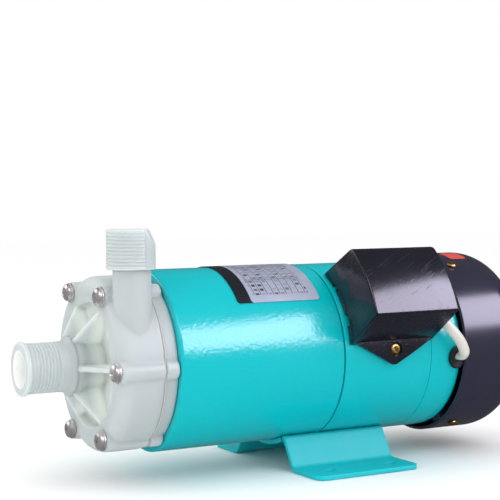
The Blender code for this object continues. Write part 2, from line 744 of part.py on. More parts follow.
def make_casing_screws(material, parent):
    """Six long pan-head screws with captive washers, from the front into the bracket's flange."""
    seat = WASHER_THICKNESS + SEAT
    tip = -BRACKET_X - CASING_SCREW_BITE
    bm = bmesh.new()
    turn(bm, [
        (tip, 0),
        (tip, CASING_SCREW_R),
        (SEAT, CASING_SCREW_R),
        (SEAT, WASHER_R),
        (seat, WASHER_R),
        (seat, CASING_SCREW_HEAD_R),
        (seat + CASING_SCREW_HEAD, 0.75 * CASING_SCREW_HEAD_R),
        (seat + CASING_SCREW_HEAD, 0),
    ], SMALL_SIDES, Matrix.Identity(4))
    facing = Matrix.Rotation(pi, 4, "Z")
    add_copies("casing_screw", bm, material, parent, [spot(0, a, BOSS_PITCH_R) @ facing for a in BOSS_ANGLES])


def make_spindle(material, parent):
    bm = bmesh.new()
    start = SOCKET_X + SEAT
    end = REAR_SOCKET_X - SEAT
    chamfer = SPINDLE_R / 6
    turn(bm, [
        (start, 0),
        (start, SPINDLE_R - chamfer),
        (start + chamfer, SPINDLE_R),
        (end - chamfer, SPINDLE_R),
        (end, SPINDLE_R - chamfer),
        (end, 0),
    ], SMALL_SIDES)
    return add_part("spindle", bm, material, parent)


def make_thrust_rings(material, parent):
    front = SOCKET_END_X + SEAT
    back = REAR_SOCKET_FRONT_X - SEAT
    for name, start in (("front_thrust_ring", front), ("rear_thrust_ring", back - THRUST_RING)):
        bm = bmesh.new()
        ring(bm, start, start + THRUST_RING, SPINDLE_R + SEAT, THRUST_RING_R, SMALL_SIDES)
        add_part(name, bm, material, parent)


def vane_outline(inner, outer, steps):
    """A strip along a backward-curved spiral, as points across and up the impeller's face."""
    growth = log(outer / inner)
    edges = []
    for side in (-1, 1):
        edge = []
        for k in range(steps + 1):
            share = k / steps
            radius = inner * exp(share * growth)
            angle = radians(-VANE_SWEEP * share) + side * VANE_THICKNESS / 2 / radius
            edge.append((-radius * cos(angle), radius * sin(angle)))
        edges.append(edge)
    return edges[0] + edges[1][::-1]


def turned_points(outline, angle):
    """Turns (y, z) points round the pump axis, from the near side upwards."""
    c = cos(radians(angle))
    s = sin(radians(angle))
    return [(y * c + z * s, z * c - y * s) for y, z in outline]


def make_impeller(material, parent):
    """Closed impeller: eye ring, front shroud, backward-curved vanes, back shroud and hub."""
    back = SPIGOT_X - IMPELLER_GAP
    back_front = back - SHROUD
    front = CHAMBER_X + IMPELLER_GAP
    front_back = front + SHROUD
    nose = BUSH_X + SEAT
    bore = BUSH_R + SEAT
    bm = bmesh.new()
    turn(bm, [
        (nose, bore),
        (nose, IMPELLER_HUB_R),
        (back_front - 2 * SHROUD, IMPELLER_HUB_R + SHROUD / 4),
        (back_front - SHROUD / 2, IMPELLER_HUB_R + 2 * SHROUD),
        (back_front, IMPELLER_HUB_R + 4 * SHROUD),
        (back_front, IMPELLER_R),
        (back, IMPELLER_R),
        (back, bore),
    ], MEDIUM_SIDES)
    impeller = add_part("impeller", bm, material, parent)
    bm = bmesh.new()
    vane = vane_outline(IMPELLER_HUB_R + SHROUD, IMPELLER_R - SEAT, 5)
    for k in range(VANE_COUNT):
        outline = turned_points(vane, 360.0 / VANE_COUNT * k)
        extrude(bm, outline, front + SHROUD / 2, back_front + SHROUD / 2)
    join(impeller, bm)
    bm = bmesh.new()
    eye_front = CHAMBER_X - MOUTH_RING_WIDTH
    turn(bm, [
        (eye_front, EYE_R),
        (eye_front, EYE_RING_R),
        (front, EYE_RING_R),
        (front, IMPELLER_R),
        (front_back, IMPELLER_R),
        (front_back, EYE_R + EYE_WALL / 2),
        (front, EYE_R),
    ], MEDIUM_SIDES)
    join(impeller, bm)
    return impeller


def make_inner_magnet(materials, parent):
    """The capsule behind the impeller, with its yoke ring, magnets, cover and bush."""
    start = SPIGOT_X - IMPELLER_GAP + SEAT
    end = CAPSULE_END_X
    cavity = start + 2 * CAPSULE_WALL
    hub_r = IMPELLER_HUB_R + SEAT
    inner_wall = CAPSULE_R - CAPSULE_WALL
    bore = BUSH_R + SEAT
    bm = bmesh.new()
    turn(bm, [
        (start, bore),
        (start, CAPSULE_R),
        (end, CAPSULE_R),
        (end, inner_wall),
        (cavity, inner_wall),
        (cavity, hub_r),
        (end, hub_r),
        (end, bore),
    ], MEDIUM_SIDES)
    add_part("magnet_capsule", bm, materials["casing_plastic"], parent)

    magnet_outer = inner_wall - SEAT
    magnet_inner = magnet_outer - DRIVEN_MAGNET
    yoke_outer = magnet_inner - SEAT
    cover_x = end - CAPSULE_COVER
    bm = bmesh.new()
    ring(bm, cavity + SEAT, cover_x - SEAT, yoke_outer - DRIVEN_YOKE, yoke_outer, MEDIUM_SIDES)
    add_part("driven_yoke", bm, materials["steel"], parent)
    magnet_ring("driven_magnet_ring", magnet_inner, magnet_outer, cavity + SEAT, cover_x - SEAT,
                magnet_outer, materials["magnet"], parent)
    bm = bmesh.new()
    ring(bm, cover_x, end, hub_r + SEAT, inner_wall - SEAT, MEDIUM_SIDES)
    add_part("capsule_cover", bm, materials["casing_plastic"], parent)
    bm = bmesh.new()
    ring(bm, BUSH_X, end, SPINDLE_R + SEAT, BUSH_R, SMALL_SIDES)
    add_part("impeller_bush", bm, materials["carbon"], parent)


def make_drive_bracket(material, parent):
    """Front end bracket: casing flange, barrel round the coupling, bearing wall and bolt bosses."""
    wall_r = MOTOR_R - BRACKET_WALL
    wall_x = FRONT_HUB_X + BEARING_HUB_LEAD
    wall_end = wall_x + BEARING_WALL
    end = SEAM_1_X - SEAT / 2
    seat_r = BEARING_R + SEAT
    bm = bmesh.new()
    turn(bm, [
        (BRACKET_X, BRACKET_BORE_R),
        (BRACKET_X, MOTOR_R),
        (end, MOTOR_R),
        (end, wall_r),
        (wall_end, wall_r),
        (wall_end, BEARING_HUB_R),
        (FRONT_HUB_END_X, BEARING_HUB_R),
        (FRONT_HUB_END_X, seat_r),
        (FRONT_HUB_X + BEARING_SHOULDER, seat_r),
        (FRONT_HUB_X + BEARING_SHOULDER, JOURNAL_R + BEARING_RING),
        (FRONT_HUB_X, JOURNAL_R + BEARING_RING),
        (FRONT_HUB_X, BEARING_HUB_R),
        (wall_x, BEARING_HUB_R),
        (wall_x, wall_r),
        (BRACKET_X + BRACKET_FLANGE, wall_r),
        (BRACKET_X + BRACKET_FLANGE, BRACKET_BORE_R),
    ], LARGE_SIDES)
    bracket = add_part("drive_bracket", bm, material, parent)
    bm = bmesh.new()
    for angle in BOLT_ANGLES:
        rod(bm, wall_x + BEARING_WALL / 2, end, BOLT_BOSS_R, SMALL_SIDES, spot(0, angle, BOLT_PITCH_R))
    join(bracket, bm)
    bm = bmesh.new()
    for angle in BOSS_ANGLES:
        rod(bm, BRACKET_X - BOSS_R, BRACKET_X + CASING_SCREW_BITE + SEAT, CASING_SCREW_R + SCREW_FIT,
            HOLE_SIDES, spot(0, angle, BOSS_PITCH_R))
    for angle in BOLT_ANGLES:
        rod(bm, end - BOLT_BITE - SEAT, end + BOSS_R, BOLT_R + SCREW_FIT, HOLE_SIDES,
            spot(0, angle, BOLT_PITCH_R))
    for angle in BASE_SCREW_PLACES:
        rod(bm, wall_r - BRACKET_WALL, MOTOR_R + BRACKET_WALL, BASE_SCREW_R + SCREW_FIT, HOLE_SIDES,
            spot(BASE_SCREW_XS[0], angle), "Z")
    cut(bracket, bm)
    return bracket


def make_stator_shell(material, parent):
    bm = bmesh.new()
    ring(bm, SEAM_1_X + SEAT / 2, SEAM_2_X - SEAT / 2, SHELL_BORE_R, MOTOR_R, LARGE_SIDES)
    shell = add_part("stator_shell", bm, material, parent)
    bm = bmesh.new()
    low = SHELL_BORE_R - SHELL_WALL
    high = MOTOR_R + SHELL_WALL
    for angle in BASE_SCREW_PLACES:
        rod(bm, low, high, BASE_SCREW_R + SCREW_FIT, HOLE_SIDES,
            spot(BASE_SCREW_XS[1], angle), "Z")
    rod(bm, low, high, FLAP_SCREW_R + SCREW_FIT, HOLE_SIDES,
        spot(HOOD_X + FLAP_SCREW_X, FLAP_SCREW_ANGLE), "Z")
    cut(shell, bm)
    return shell


def make_stator_core(material, parent):
    """Laminated core: a ring with open slots towards the bore and four bolt holes."""
    bm = bmesh.new()
    rod(bm, CORE_X, CORE_END_X, CORE_R, LARGE_SIDES)
    core = add_part("stator_core", bm, material, parent)
    outline = []
    half = degrees(asin(SLOT_WIDTH / 2 / CORE_BORE_R))
    half_deep = degrees(asin(SLOT_WIDTH / 2 / (CORE_BORE_R + SLOT_DEPTH)))
    for k in range(CORE_SLOTS):
        angle = 360.0 / CORE_SLOTS * k
        outline += around(CORE_BORE_R, angle - half, angle - half, 1)[:1]
        outline += around(CORE_BORE_R + SLOT_DEPTH, angle - half_deep, angle + half_deep, 1)
        outline += around(CORE_BORE_R, angle + half, angle + half, 1)[:1]
    bm = bmesh.new()
    extrude(bm, outline, CORE_X - CORE_INSET, CORE_END_X + CORE_INSET)
    for angle in BOLT_ANGLES:
        rod(bm, CORE_X - CORE_INSET, CORE_END_X + CORE_INSET, BOLT_R + SCREW_FIT, HOLE_SIDES,
            spot(0, angle, BOLT_PITCH_R))
    cut(core, bm)
    return core


def make_stator_windings(material, parent):
    """The two end turns of the winding, each a fat ring with rounded corners."""
    round_off = (WINDING_OUTER_R - WINDING_INNER_R) / 4
    ends = (
        ("front_winding", CORE_X - SEAT, WINDING_FRONT_X),
        ("rear_winding", CORE_END_X + SEAT, WINDING_REAR_END_X),
    )
    for name, near, far in ends:
        back = round_off if far > near else -round_off
        bm = bmesh.new()
        turn(bm, [
            (near, WINDING_INNER_R),
            (far - back, WINDING_INNER_R),
            (far, WINDING_INNER_R + round_off),
            (far, WINDING_OUTER_R - round_off),
            (far - back, WINDING_OUTER_R),
            (near, WINDING_OUTER_R),
        ], MEDIUM_SIDES)
        add_part(name, bm, material, parent)


def make_rear_end_bell(material, parent):
    """Rear end shield with the bearing seat, the lugs for the fan cover and the lead's hole."""
    bore = SHELL_BORE_R
    seat_r = BEARING_R + SEAT
    hub_x = REAR_BEARING_X - SEAT
    shoulder = arc((BELL_END_X - BELL_SHOULDER, MOTOR_R - BELL_SHOULDER), BELL_SHOULDER, 90, 0, 3)
    bm = bmesh.new()
    turn(bm, [(SEAM_2_X + SEAT / 2, bore), (SEAM_2_X + SEAT / 2, MOTOR_R)] + shoulder + [
        (BELL_END_X, SHAFT_END_R + BEARING_SHOULDER),
        (BELL_SHOULDER_X, SHAFT_END_R + BEARING_SHOULDER),
        (BELL_SHOULDER_X, seat_r),
        (hub_x, seat_r),
        (hub_x, BEARING_HUB_R),
        (BELL_FLOOR_X, BEARING_HUB_R),
        (BELL_FLOOR_X, bore - BELL_SHOULDER),
        (BELL_FLOOR_X - BELL_SHOULDER, bore),
    ], LARGE_SIDES)
    bell = add_part("rear_end_bell", bm, material, parent)
    bm = bmesh.new()
    for angle in COVER_SCREW_ANGLES:
        box(bm, (BELL_END_X - BELL_WALL / 2, -LUG_WIDTH / 2, LUG_TOP_R - LUG_DEPTH),
            (LUG_END_X, LUG_WIDTH / 2, MOTOR_R - BELL_SHOULDER / 3), spot(0, angle))
    join(bell, bm)
    bm = bmesh.new()
    for angle in COVER_SCREW_ANGLES:
        box(bm, (COVER_X + 2 * SEAT, -LUG_WIDTH / 2 + SEAT, LUG_TOP_R - LUG_DEPTH / 2),
            (LUG_END_X - SEAT, LUG_WIDTH / 2 - SEAT, LUG_TOP_R), spot(0, angle))
    join(bell, bm)
    bm = bmesh.new()
    for angle in BOLT_ANGLES:
        rod(bm, BELL_FLOOR_X - BOSS_R, BELL_END_X + BOSS_R, BOLT_R + SCREW_FIT, HOLE_SIDES,
            spot(0, angle, BOLT_PITCH_R))
    for angle in COVER_SCREW_ANGLES:
        rod(bm, LUG_TOP_R - 2 * LUG_DEPTH, LUG_TOP_R + LUG_DEPTH, COVER_SCREW_R + SCREW_FIT, HOLE_SIDES,
            spot(COVER_X + COVER_SCREW_SETBACK, angle), "Z")
    rod(bm, bore - BELL_WALL, MOTOR_R + BELL_WALL, GROMMET_NECK_R + SEAT, SMALL_SIDES,
        spot(GROMMET_X, GROMMET_ANGLE), "Z")
    cut(bell, bm)
    return bell


def make_through_bolts(material, parent):
    """Long bolts from the rear end bell through the core into the bracket's bosses."""
    seat = BELL_END_X + SEAT
    bm = screw(seat, seat - SEAM_1_X + BOLT_BITE, BOLT_R, BOLT_HEAD_R, BOLT_HEAD, "X", HOLE_SIDES)
    add_copies("through_bolt", bm, material, parent, [spot(0, a, BOLT_PITCH_R) for a in BOLT_ANGLES])


def make_bearing(name, start, materials, static, turning):
    """A ball bearing as its two rings; its inner ring turns with the shaft."""
    bm = bmesh.new()
    ring(bm, start, start + BEARING_WIDTH, BEARING_R - BEARING_RING, BEARING_R, MEDIUM_SIDES)
    add_part(f"{name}_bearing_outer", bm, materials["steel"], static)
    bm = bmesh.new()
    inner = JOURNAL_R + SEAT
    ring(bm, start, start + BEARING_WIDTH, inner, inner + BEARING_RING, MEDIUM_SIDES)
    add_part(f"{name}_bearing_inner", bm, materials["steel"], turning)


def make_wave_washer(material, parent):
    bm = bmesh.new()
    start = REAR_BEARING_X + BEARING_WIDTH + SEAT
    ring(bm, start, start + WAVE_WASHER, BEARING_R - BEARING_RING, BEARING_R - SEAT, MEDIUM_SIDES)
    return add_part("bearing_wave_washer", bm, material, parent)


def make_motor_shaft(material, parent):
    """Stepped shaft: yoke seat, two journals, rotor seat and fan seat with a clip groove."""
    front_shoulder = FRONT_BEARING_X + BEARING_WIDTH + SEAT
    rear_shoulder = REAR_BEARING_X - SEAT
    groove_r = SHAFT_END_R - CLIP_THICKNESS
    bm = bmesh.new()
    turn(bm, [
        (YOKE_FLOOR_X, 0),
        (YOKE_FLOOR_X, SHAFT_END_R),
        (FRONT_BEARING_X - SEAT, SHAFT_END_R),
        (FRONT_BEARING_X - SEAT, JOURNAL_R),
        (front_shoulder, JOURNAL_R),
        (front_shoulder, SHAFT_R),
        (rear_shoulder, SHAFT_R),
        (rear_shoulder, JOURNAL_R),
        (BELL_SHOULDER_X, JOURNAL_R),
        (BELL_SHOULDER_X, SHAFT_END_R),
        (CLIP_X, SHAFT_END_R),
        (CLIP_X, groove_r),
        (CLIP_X + CLIP_THICKNESS + 2 * SEAT, groove_r),
        (CLIP_X + CLIP_THICKNESS + 2 * SEAT, SHAFT_END_R),
        (SHAFT_END_X, SHAFT_END_R),
        (SHAFT_END_X, 0),
    ], SMALL_SIDES)
    return add_part("motor_shaft", bm, material, parent)


def make_rotor(material, parent):
    """Squirrel-cage core with its two end rings cast on."""
    bore = SHAFT_R + SEAT
    inner = END_RING_R - END_RING_WIDTH
    front = CORE_X - END_RING_WIDTH
    back = CORE_END_X + END_RING_WIDTH
    bm = bmesh.new()
    turn(bm, [
        (CORE_X, bore),
        (front, inner),
        (front, END_RING_R),
        (CORE_X, ROTOR_R),
        (CORE_END_X, ROTOR_R),
        (back, END_RING_R),
        (back, inner),
        (CORE_END_X, bore),
    ], MEDIUM_SIDES)
    return add_part("rotor_core", bm, material, parent)


def make_drive_magnet(materials, parent):
    """The cup on the shaft's front end, its ring magnet and the set screw in its hub."""
    front = REGISTER_END_X + YOKE_FRONT_GAP
    floor_end = YOKE_FLOOR_X + YOKE_FLOOR
    bore = SHAFT_END_R + SEAT
    bm = bmesh.new()
    turn(bm, [
        (front, YOKE_BORE_R),
        (front, YOKE_R),
        (floor_end, YOKE_R),
        (floor_end, YOKE_HUB_R),
        (YOKE_END_X, YOKE_HUB_R),
        (YOKE_END_X, bore),
        (YOKE_FLOOR_X, bore),
        (YOKE_FLOOR_X, YOKE_BORE_R),
    ], MEDIUM_SIDES)
    yoke = add_part("drive_magnet_yoke", bm, materials["steel"], parent)
    screw_x = YOKE_END_X - YOKE_HUB / 2
    place = spot(screw_x, 0)
    bm = bmesh.new()
    rod(bm, SHAFT_END_R, YOKE_HUB_R + SET_SCREW_R, SET_SCREW_R + SEAT, HOLE_SIDES, place, "Z")
    cut(yoke, bm)
    bm = bmesh.new()
    rod(bm, SHAFT_END_R + SEAT, YOKE_HUB_R - SEAT, SET_SCREW_R, HOLE_SIDES, place, "Z")
    add_part("yoke_set_screw", bm, materials["dark_steel"], parent)
    inner = YOKE_MAGNET_R
    magnet_ring("drive_magnet_ring", inner, inner + DRIVE_MAGNET, front + YOKE_WALL, YOKE_FLOOR_X - SEAT,
                inner, materials["magnet"], parent)


def make_cooling_fan(material, parent):
    """Radial fan: hub, backing disc and flat blades."""
    bore = SHAFT_END_R + SEAT
    blade_end = FAN_END_X - 2 * FAN_BLADE
    bm = bmesh.new()
    turn(bm, [
        (FAN_X, bore),
        (FAN_X, FAN_DISC_R),
        (FAN_X + FAN_BLADE, FAN_DISC_R),
        (FAN_X + 2 * FAN_BLADE, FAN_HUB_R),
        (FAN_END_X, FAN_HUB_R - FAN_BLADE / 2),
        (FAN_END_X, bore),
    ], MEDIUM_SIDES)
    fan = add_part("cooling_fan", bm, material, parent)
    bm = bmesh.new()
    for k in range(FAN_BLADES):
        outline = [
            (FAN_X + FAN_BLADE / 2, FAN_HUB_R - FAN_BLADE),
            (FAN_X + FAN_BLADE / 2, FAN_DISC_R - FAN_BLADE),
            (FAN_X + FAN_BLADE, FAN_R),
            (blade_end, FAN_R),
            (blade_end, FAN_HUB_R - FAN_BLADE),
        ]
        extrude(bm, outline, -FAN_BLADE / 2, FAN_BLADE / 2, "Y", spot(0, 360.0 / FAN_BLADES * k))
    join(fan, bm)
    return fan


def make_fan_clip(material, parent):
    bm = bmesh.new()
    start = CLIP_X + SEAT
    ring(bm, start, start + CLIP_THICKNESS, SHAFT_END_R - CLIP_THICKNESS + SEAT, CLIP_R, SMALL_SIDES)
    return add_part("fan_clip", bm, material, parent)


def make_fan_cover(material, parent):
    """Deep cover with a rounded rear corner and a grille of radial slots."""
    corner_x = COVER_END_X - COVER_CORNER
    corner_r = COVER_R - COVER_CORNER
    outer = arc((corner_x, corner_r), COVER_CORNER, 90, 0, 4)
    inner = arc((corner_x, corner_r), COVER_CORNER - COVER_WALL, 0, 90, 4)
    bm = bmesh.new()
    turn(bm, [(COVER_END_X - COVER_WALL, 0)] + inner + [(COVER_X, COVER_R - COVER_WALL), (COVER_X, COVER_R)]
         + outer + [(COVER_END_X, 0)], LARGE_SIDES)
    cover = add_part("fan_cover", bm, material, parent)
    bm = bmesh.new()
    slot_start = corner_x + COVER_CORNER / 2
    for k in range(GRILLE_SLOTS):
        box(bm, (slot_start, -GRILLE_SLOT / 2, GRILLE_INNER_R),
            (COVER_END_X + COVER_WALL, GRILLE_SLOT / 2, GRILLE_OUTER_R), spot(0, 360.0 / GRILLE_SLOTS * k))
    for angle in COVER_SCREW_ANGLES:
        rod(bm, COVER_R - 2 * COVER_WALL, COVER_R + COVER_WALL, COVER_SCREW_R + SCREW_FIT, HOLE_SIDES,
            spot(COVER_X + COVER_SCREW_SETBACK, angle), "Z")
    cut(cover, bm)
    return cover


def make_fan_cover_screws(material, parent):
    seat = COVER_R + SEAT
    length = seat - LUG_TOP_R + LUG_DEPTH / 2
    bm = screw(seat, length, COVER_SCREW_R, COVER_SCREW_HEAD_R, COVER_SCREW_HEAD, sides=HOLE_SIDES)
    x = COVER_X + COVER_SCREW_SETBACK
    add_copies("fan_cover_screw", bm, material, parent, [spot(x, angle) for angle in COVER_SCREW_ANGLES])


def make_motor_base(material, parent):
    """Bent sheet foot: saddle under the motor, splayed webs and two flat feet with holes."""
    half = BASE_WIDTH / 2
    foot_top = BASE_SHEET - AXIS_HEIGHT
    saddle = around(BODY_SEAT_R, -90 + BASE_SADDLE_ANGLE, -90 - BASE_SADDLE_ANGLE, 6)
    far_foot = [(BASE_BEND_Y, foot_top), (half, foot_top)]
    section = [(-half, foot_top), (-BASE_BEND_Y, foot_top)] + saddle + far_foot
    bm = bmesh.new()
    rows = [[bm.verts.new((x, y, z)) for y, z in section] for x in (BASE_X, BASE_X + BASE_LENGTH)]
    for k in range(len(section) - 1):
        bm.faces.new((rows[0][k], rows[1][k], rows[1][k + 1], rows[0][k + 1]))
    corners = [rows[0][0], rows[0][-1], rows[1][0], rows[1][-1]]
    bmesh.ops.bevel(bm, geom=corners, offset=BASE_CORNER, affect="VERTICES", segments=3, profile=0.5)
    bmesh.ops.recalc_face_normals(bm, faces=bm.faces)
    base = add_part("motor_base", bm, material, parent)
    sheet = base.modifiers.new("sheet", "SOLIDIFY")
    sheet.thickness = BASE_SHEET
    sheet.offset = -1 if base.data.polygons[0].normal.z > 0 else 1
    sheet.use_even_offset = True
    bm = bmesh.new()
    for side in (-1, 1):
        for x in FOOT_HOLE_XS:
            hole = Matrix.Translation((x, side * FOOT_HOLE_Y, 0))
            rod(bm, -AXIS_HEIGHT - BASE_SHEET, foot_top + BASE_SHEET, FOOT_HOLE_R, SMALL_SIDES, hole, "Z")
    for angle in BASE_SCREW_PLACES:
        for x in BASE_SCREW_XS:
            rod(bm, MOTOR_R - BASE_SHEET, MOTOR_R + 3 * BASE_SHEET, BASE_SCREW_R + SCREW_FIT, HOLE_SIDES,
                spot(x, angle), "Z")
    cut(base, bm)
    return base


def make_base_screws(material, parent):
    seat = BODY_SEAT_R + BASE_SHEET + SEAT
    length = seat - SHELL_BORE_R - SEAT
    bm = screw(seat, length, BASE_SCREW_R, BASE_SCREW_HEAD_R, BASE_SCREW_HEAD, sides=HOLE_SIDES)
    places = [spot(x, angle) for x in BASE_SCREW_XS for angle in BASE_SCREW_PLACES]
    add_copies("base_screw", bm, material, parent, places)


def hood_section(inset):
    """The terminal box's section round the motor; an inset above zero gives the inside."""
    turn_in = degrees(inset / HOOD_R)
    foot_in = degrees(1.2 * inset / MOTOR_R)
    reach = HOOD_R - inset
    foot = BODY_SEAT_R - 2 * inset
    front = around(reach, HOOD_TOP_ANGLE - turn_in, HOOD_BOTTOM_ANGLE + turn_in, 4)
    body = around(foot, HOOD_BOTTOM_FOOT_ANGLE + foot_in, HOOD_TOP_FOOT_ANGLE - foot_in, 6)
    return front + body


def make_terminal_box(material, parent):
    """Hood over the capacitor and terminals, with a pointed flap that takes its screw."""
    bm = bmesh.new()
    extrude(bm, hood_section(0), HOOD_X, HOOD_END_X)
    front_edges = []
    for edge in bm.edges:
        ends = [v.co for v in edge.verts]
        is_end_edge = abs(ends[0].x - ends[1].x) < SEAT
        if is_end_edge and min(co.yz.length for co in ends) > (HOOD_R + MOTOR_R) / 2:
            front_edges.append(edge)
    bmesh.ops.bevel(bm, geom=front_edges, offset=HOOD_EDGE, affect="EDGES", segments=2, profile=0.5)
    hood = add_part("terminal_box", bm, material, parent)
    bm = bmesh.new()
    extrude(bm, hood_section(HOOD_WALL), HOOD_X + HOOD_WALL, HOOD_END_X - HOOD_WALL)
    cut(hood, bm)

    bm = bmesh.new()
    top_angle = HOOD_BOTTOM_FOOT_ANGLE + degrees(HOOD_WALL / MOTOR_R)
    tip_x = HOOD_X + FLAP_TIP_X
    loops = []
    for k in range(4):
        share = k / 3
        angle = top_angle + (FLAP_TIP_ANGLE - top_angle) * share
        left = HOOD_X + SEAT + (tip_x - FLAP_TIP_WIDTH / 2 - HOOD_X) * share
        right = HOOD_END_X - SEAT + (tip_x + FLAP_TIP_WIDTH / 2 - HOOD_END_X) * share
        low_y, low_z = around(BODY_SEAT_R, angle, angle, 1)[0]
        high_y, high_z = around(BODY_SEAT_R + FLAP_THICKNESS, angle, angle, 1)[0]
        loops.append([
            (left, low_y, low_z),
            (left, high_y, high_z),
            (right, high_y, high_z),
            (right, low_y, low_z),
        ])
    loft(bm, loops)
    join(hood, bm)

    bm = bmesh.new()
    screw_place = spot(HOOD_X + FLAP_SCREW_X, FLAP_SCREW_ANGLE)
    hole_r = FLAP_SCREW_R + SCREW_FIT
    recess_r = FLAP_SCREW_HEAD_R + SEAT
    recess = FLAP_SEAT_R
    turn(bm, [
        (MOTOR_R - HOOD_WALL, 0),
        (MOTOR_R - HOOD_WALL, hole_r),
        (recess, hole_r),
        (recess, recess_r),
        (recess + 2 * FLAP_THICKNESS, recess_r),
        (recess + 2 * FLAP_THICKNESS, 0),
    ], SMALL_SIDES, screw_place, "Z")
    rod(bm, HOOD_END_X - 2 * HOOD_WALL, HOOD_END_X + HOOD_WALL, LEAD_R + LEAD_HOLE_FIT, SMALL_SIDES,
        spot(0, LEAD_EXIT_ANGLE, LEAD_EXIT_R))
    rod(bm, HOOD_END_X - 2 * HOOD_WALL, HOOD_END_X + HOOD_WALL, INLET_GROMMET_R + GROMMET_WALL, SMALL_SIDES,
        spot(0, INLET_GROMMET_ANGLE, HOOD_MIDDLE_R))
    cut(hood, bm)
    return hood


def make_flap_screw(material, parent):
    seat = FLAP_SEAT_R + SEAT
    bm = screw(seat, seat - SHELL_BORE_R, FLAP_SCREW_R, FLAP_SCREW_HEAD_R, FLAP_SCREW_HEAD)
    screw_object = add_part("terminal_box_screw", bm, material, parent)
    screw_object.matrix_local = spot(HOOD_X + FLAP_SCREW_X, FLAP_SCREW_ANGLE)
    return screw_object


def make_capacitor(materials, parent):
    """Run capacitor with its clip, both along the motor under the hood."""
    centre = spot(0, CAPACITOR_ANGLE, BODY_SEAT_R + CAPACITOR_STANDOFF + CAPACITOR_R)
    start = HOOD_X + (HOOD_LENGTH - CAPACITOR_LENGTH) / 2
    end = start + CAPACITOR_LENGTH
    bm = bmesh.new()
    rod(bm, start, end, CAPACITOR_R, MEDIUM_SIDES, centre)
    add_part("capacitor", bm, materials["cream"], parent)
    bm = bmesh.new()
    middle = (start + end) / 2
    low = middle - CLIP_BAND_WIDTH / 2
    high = middle + CLIP_BAND_WIDTH / 2
    band_r = CAPACITOR_R + 2 * SEAT
    ring(bm, low, high, band_r, band_r + CLIP_BAND, MEDIUM_SIDES, centre)
    clip = add_part("capacitor_clip", bm, materials["steel"], parent)
    bm = bmesh.new()
    box(bm, (low + SEAT, -CAPACITOR_R / 2, BODY_SEAT_R + SEAT),
        (high - SEAT, CAPACITOR_R / 2, BODY_SEAT_R + CAPACITOR_STANDOFF - 2 * SEAT), spot(0, CAPACITOR_ANGLE))
    join(clip, bm)
    return clip


def make_terminal_block(material, parent):
    """Strip of terminals with a pocket over each and its screw standing in the pocket."""
    place = spot(HOOD_X + HOOD_LENGTH / 2, TERMINAL_ANGLE, BODY_SEAT_R + SEAT)
    half = TERMINAL_LENGTH / 2
    bm = bmesh.new()
    box(bm, (-half, -TERMINAL_WIDTH / 2, 0), (half, TERMINAL_WIDTH / 2, TERMINAL_HEIGHT), place)
    block = add_part("terminal_block", bm, material, parent)
    pitch = TERMINAL_LENGTH / TERMINAL_SCREWS
    spots = [place @ Matrix.Translation((-half + pitch * (k + 0.5), 0, 0)) for k in range(TERMINAL_SCREWS)]
    floor = TERMINAL_HEIGHT / 2
    bm = bmesh.new()
    for screw_place in spots:
        rod(bm, floor, 2 * TERMINAL_HEIGHT, TERMINAL_POCKET_R, HOLE_SIDES, screw_place, "Z")
    cut(block, bm)
    bm = bmesh.new()
    for screw_place in spots:
        rod(bm, floor / 2, floor + TERMINAL_SCREW_R, TERMINAL_SCREW_R, HOLE_SIDES, screw_place, "Z")
    join(block, bm)
    return block


def make_lead_grommet(material, parent):
    bm = bmesh.new()
    flange = BODY_SEAT_R + 2 * SEAT
    turn(bm, [
        (MOTOR_R - BELL_WALL, LEAD_R + SEAT),
        (MOTOR_R - BELL_WALL, GROMMET_NECK_R),
        (flange, GROMMET_NECK_R),
        (flange, GROMMET_FLANGE_R),
        (flange + GROMMET_FLANGE, GROMMET_FLANGE_R - SEAT),
        (flange + GROMMET_FLANGE, LEAD_R + 2 * SEAT),
    ], SMALL_SIDES, spot(GROMMET_X, GROMMET_ANGLE), "Z")
    return add_part("lead_grommet", bm, material, parent)


def make_cable_inlet(material, parent):
    """Rubber grommet in the hood's rear wall, where the supply cable would enter."""
    bm = bmesh.new()
    outer = INLET_GROMMET_R + GROMMET_WALL - SEAT
    lip = outer + GROMMET_WALL
    turn(bm, [
        (HOOD_END_X - HOOD_WALL - SEAT, INLET_GROMMET_R),
        (HOOD_END_X - HOOD_WALL - SEAT, outer),
        (HOOD_END_X + SEAT, outer),
        (HOOD_END_X + SEAT, lip),
        (HOOD_END_X + SEAT + GROMMET_WALL, lip),
        (HOOD_END_X + SEAT + GROMMET_WALL, INLET_GROMMET_R),
    ], SMALL_SIDES, spot(0, INLET_GROMMET_ANGLE, HOOD_MIDDLE_R))
    return add_part("cable_inlet", bm, material, parent)


def catmull_rom(points, steps):
    """A smooth curve through the route's points."""
    padded = [2 * points[0] - points[1]] + points + [2 * points[-1] - points[-2]]
    path = []
    for p0, p1, p2, p3 in zip(padded, padded[1:], padded[2:], padded[3:]):
        for k in range(steps):
            t = k / steps
            path.append(0.5 * (2 * p1 + (p2 - p0) * t + (2 * p0 - 5 * p1 + 4 * p2 - p3) * t * t
                               + (3 * p1 - p0 - 3 * p2 + p3) * t ** 3))
    return path + [points[-1]]


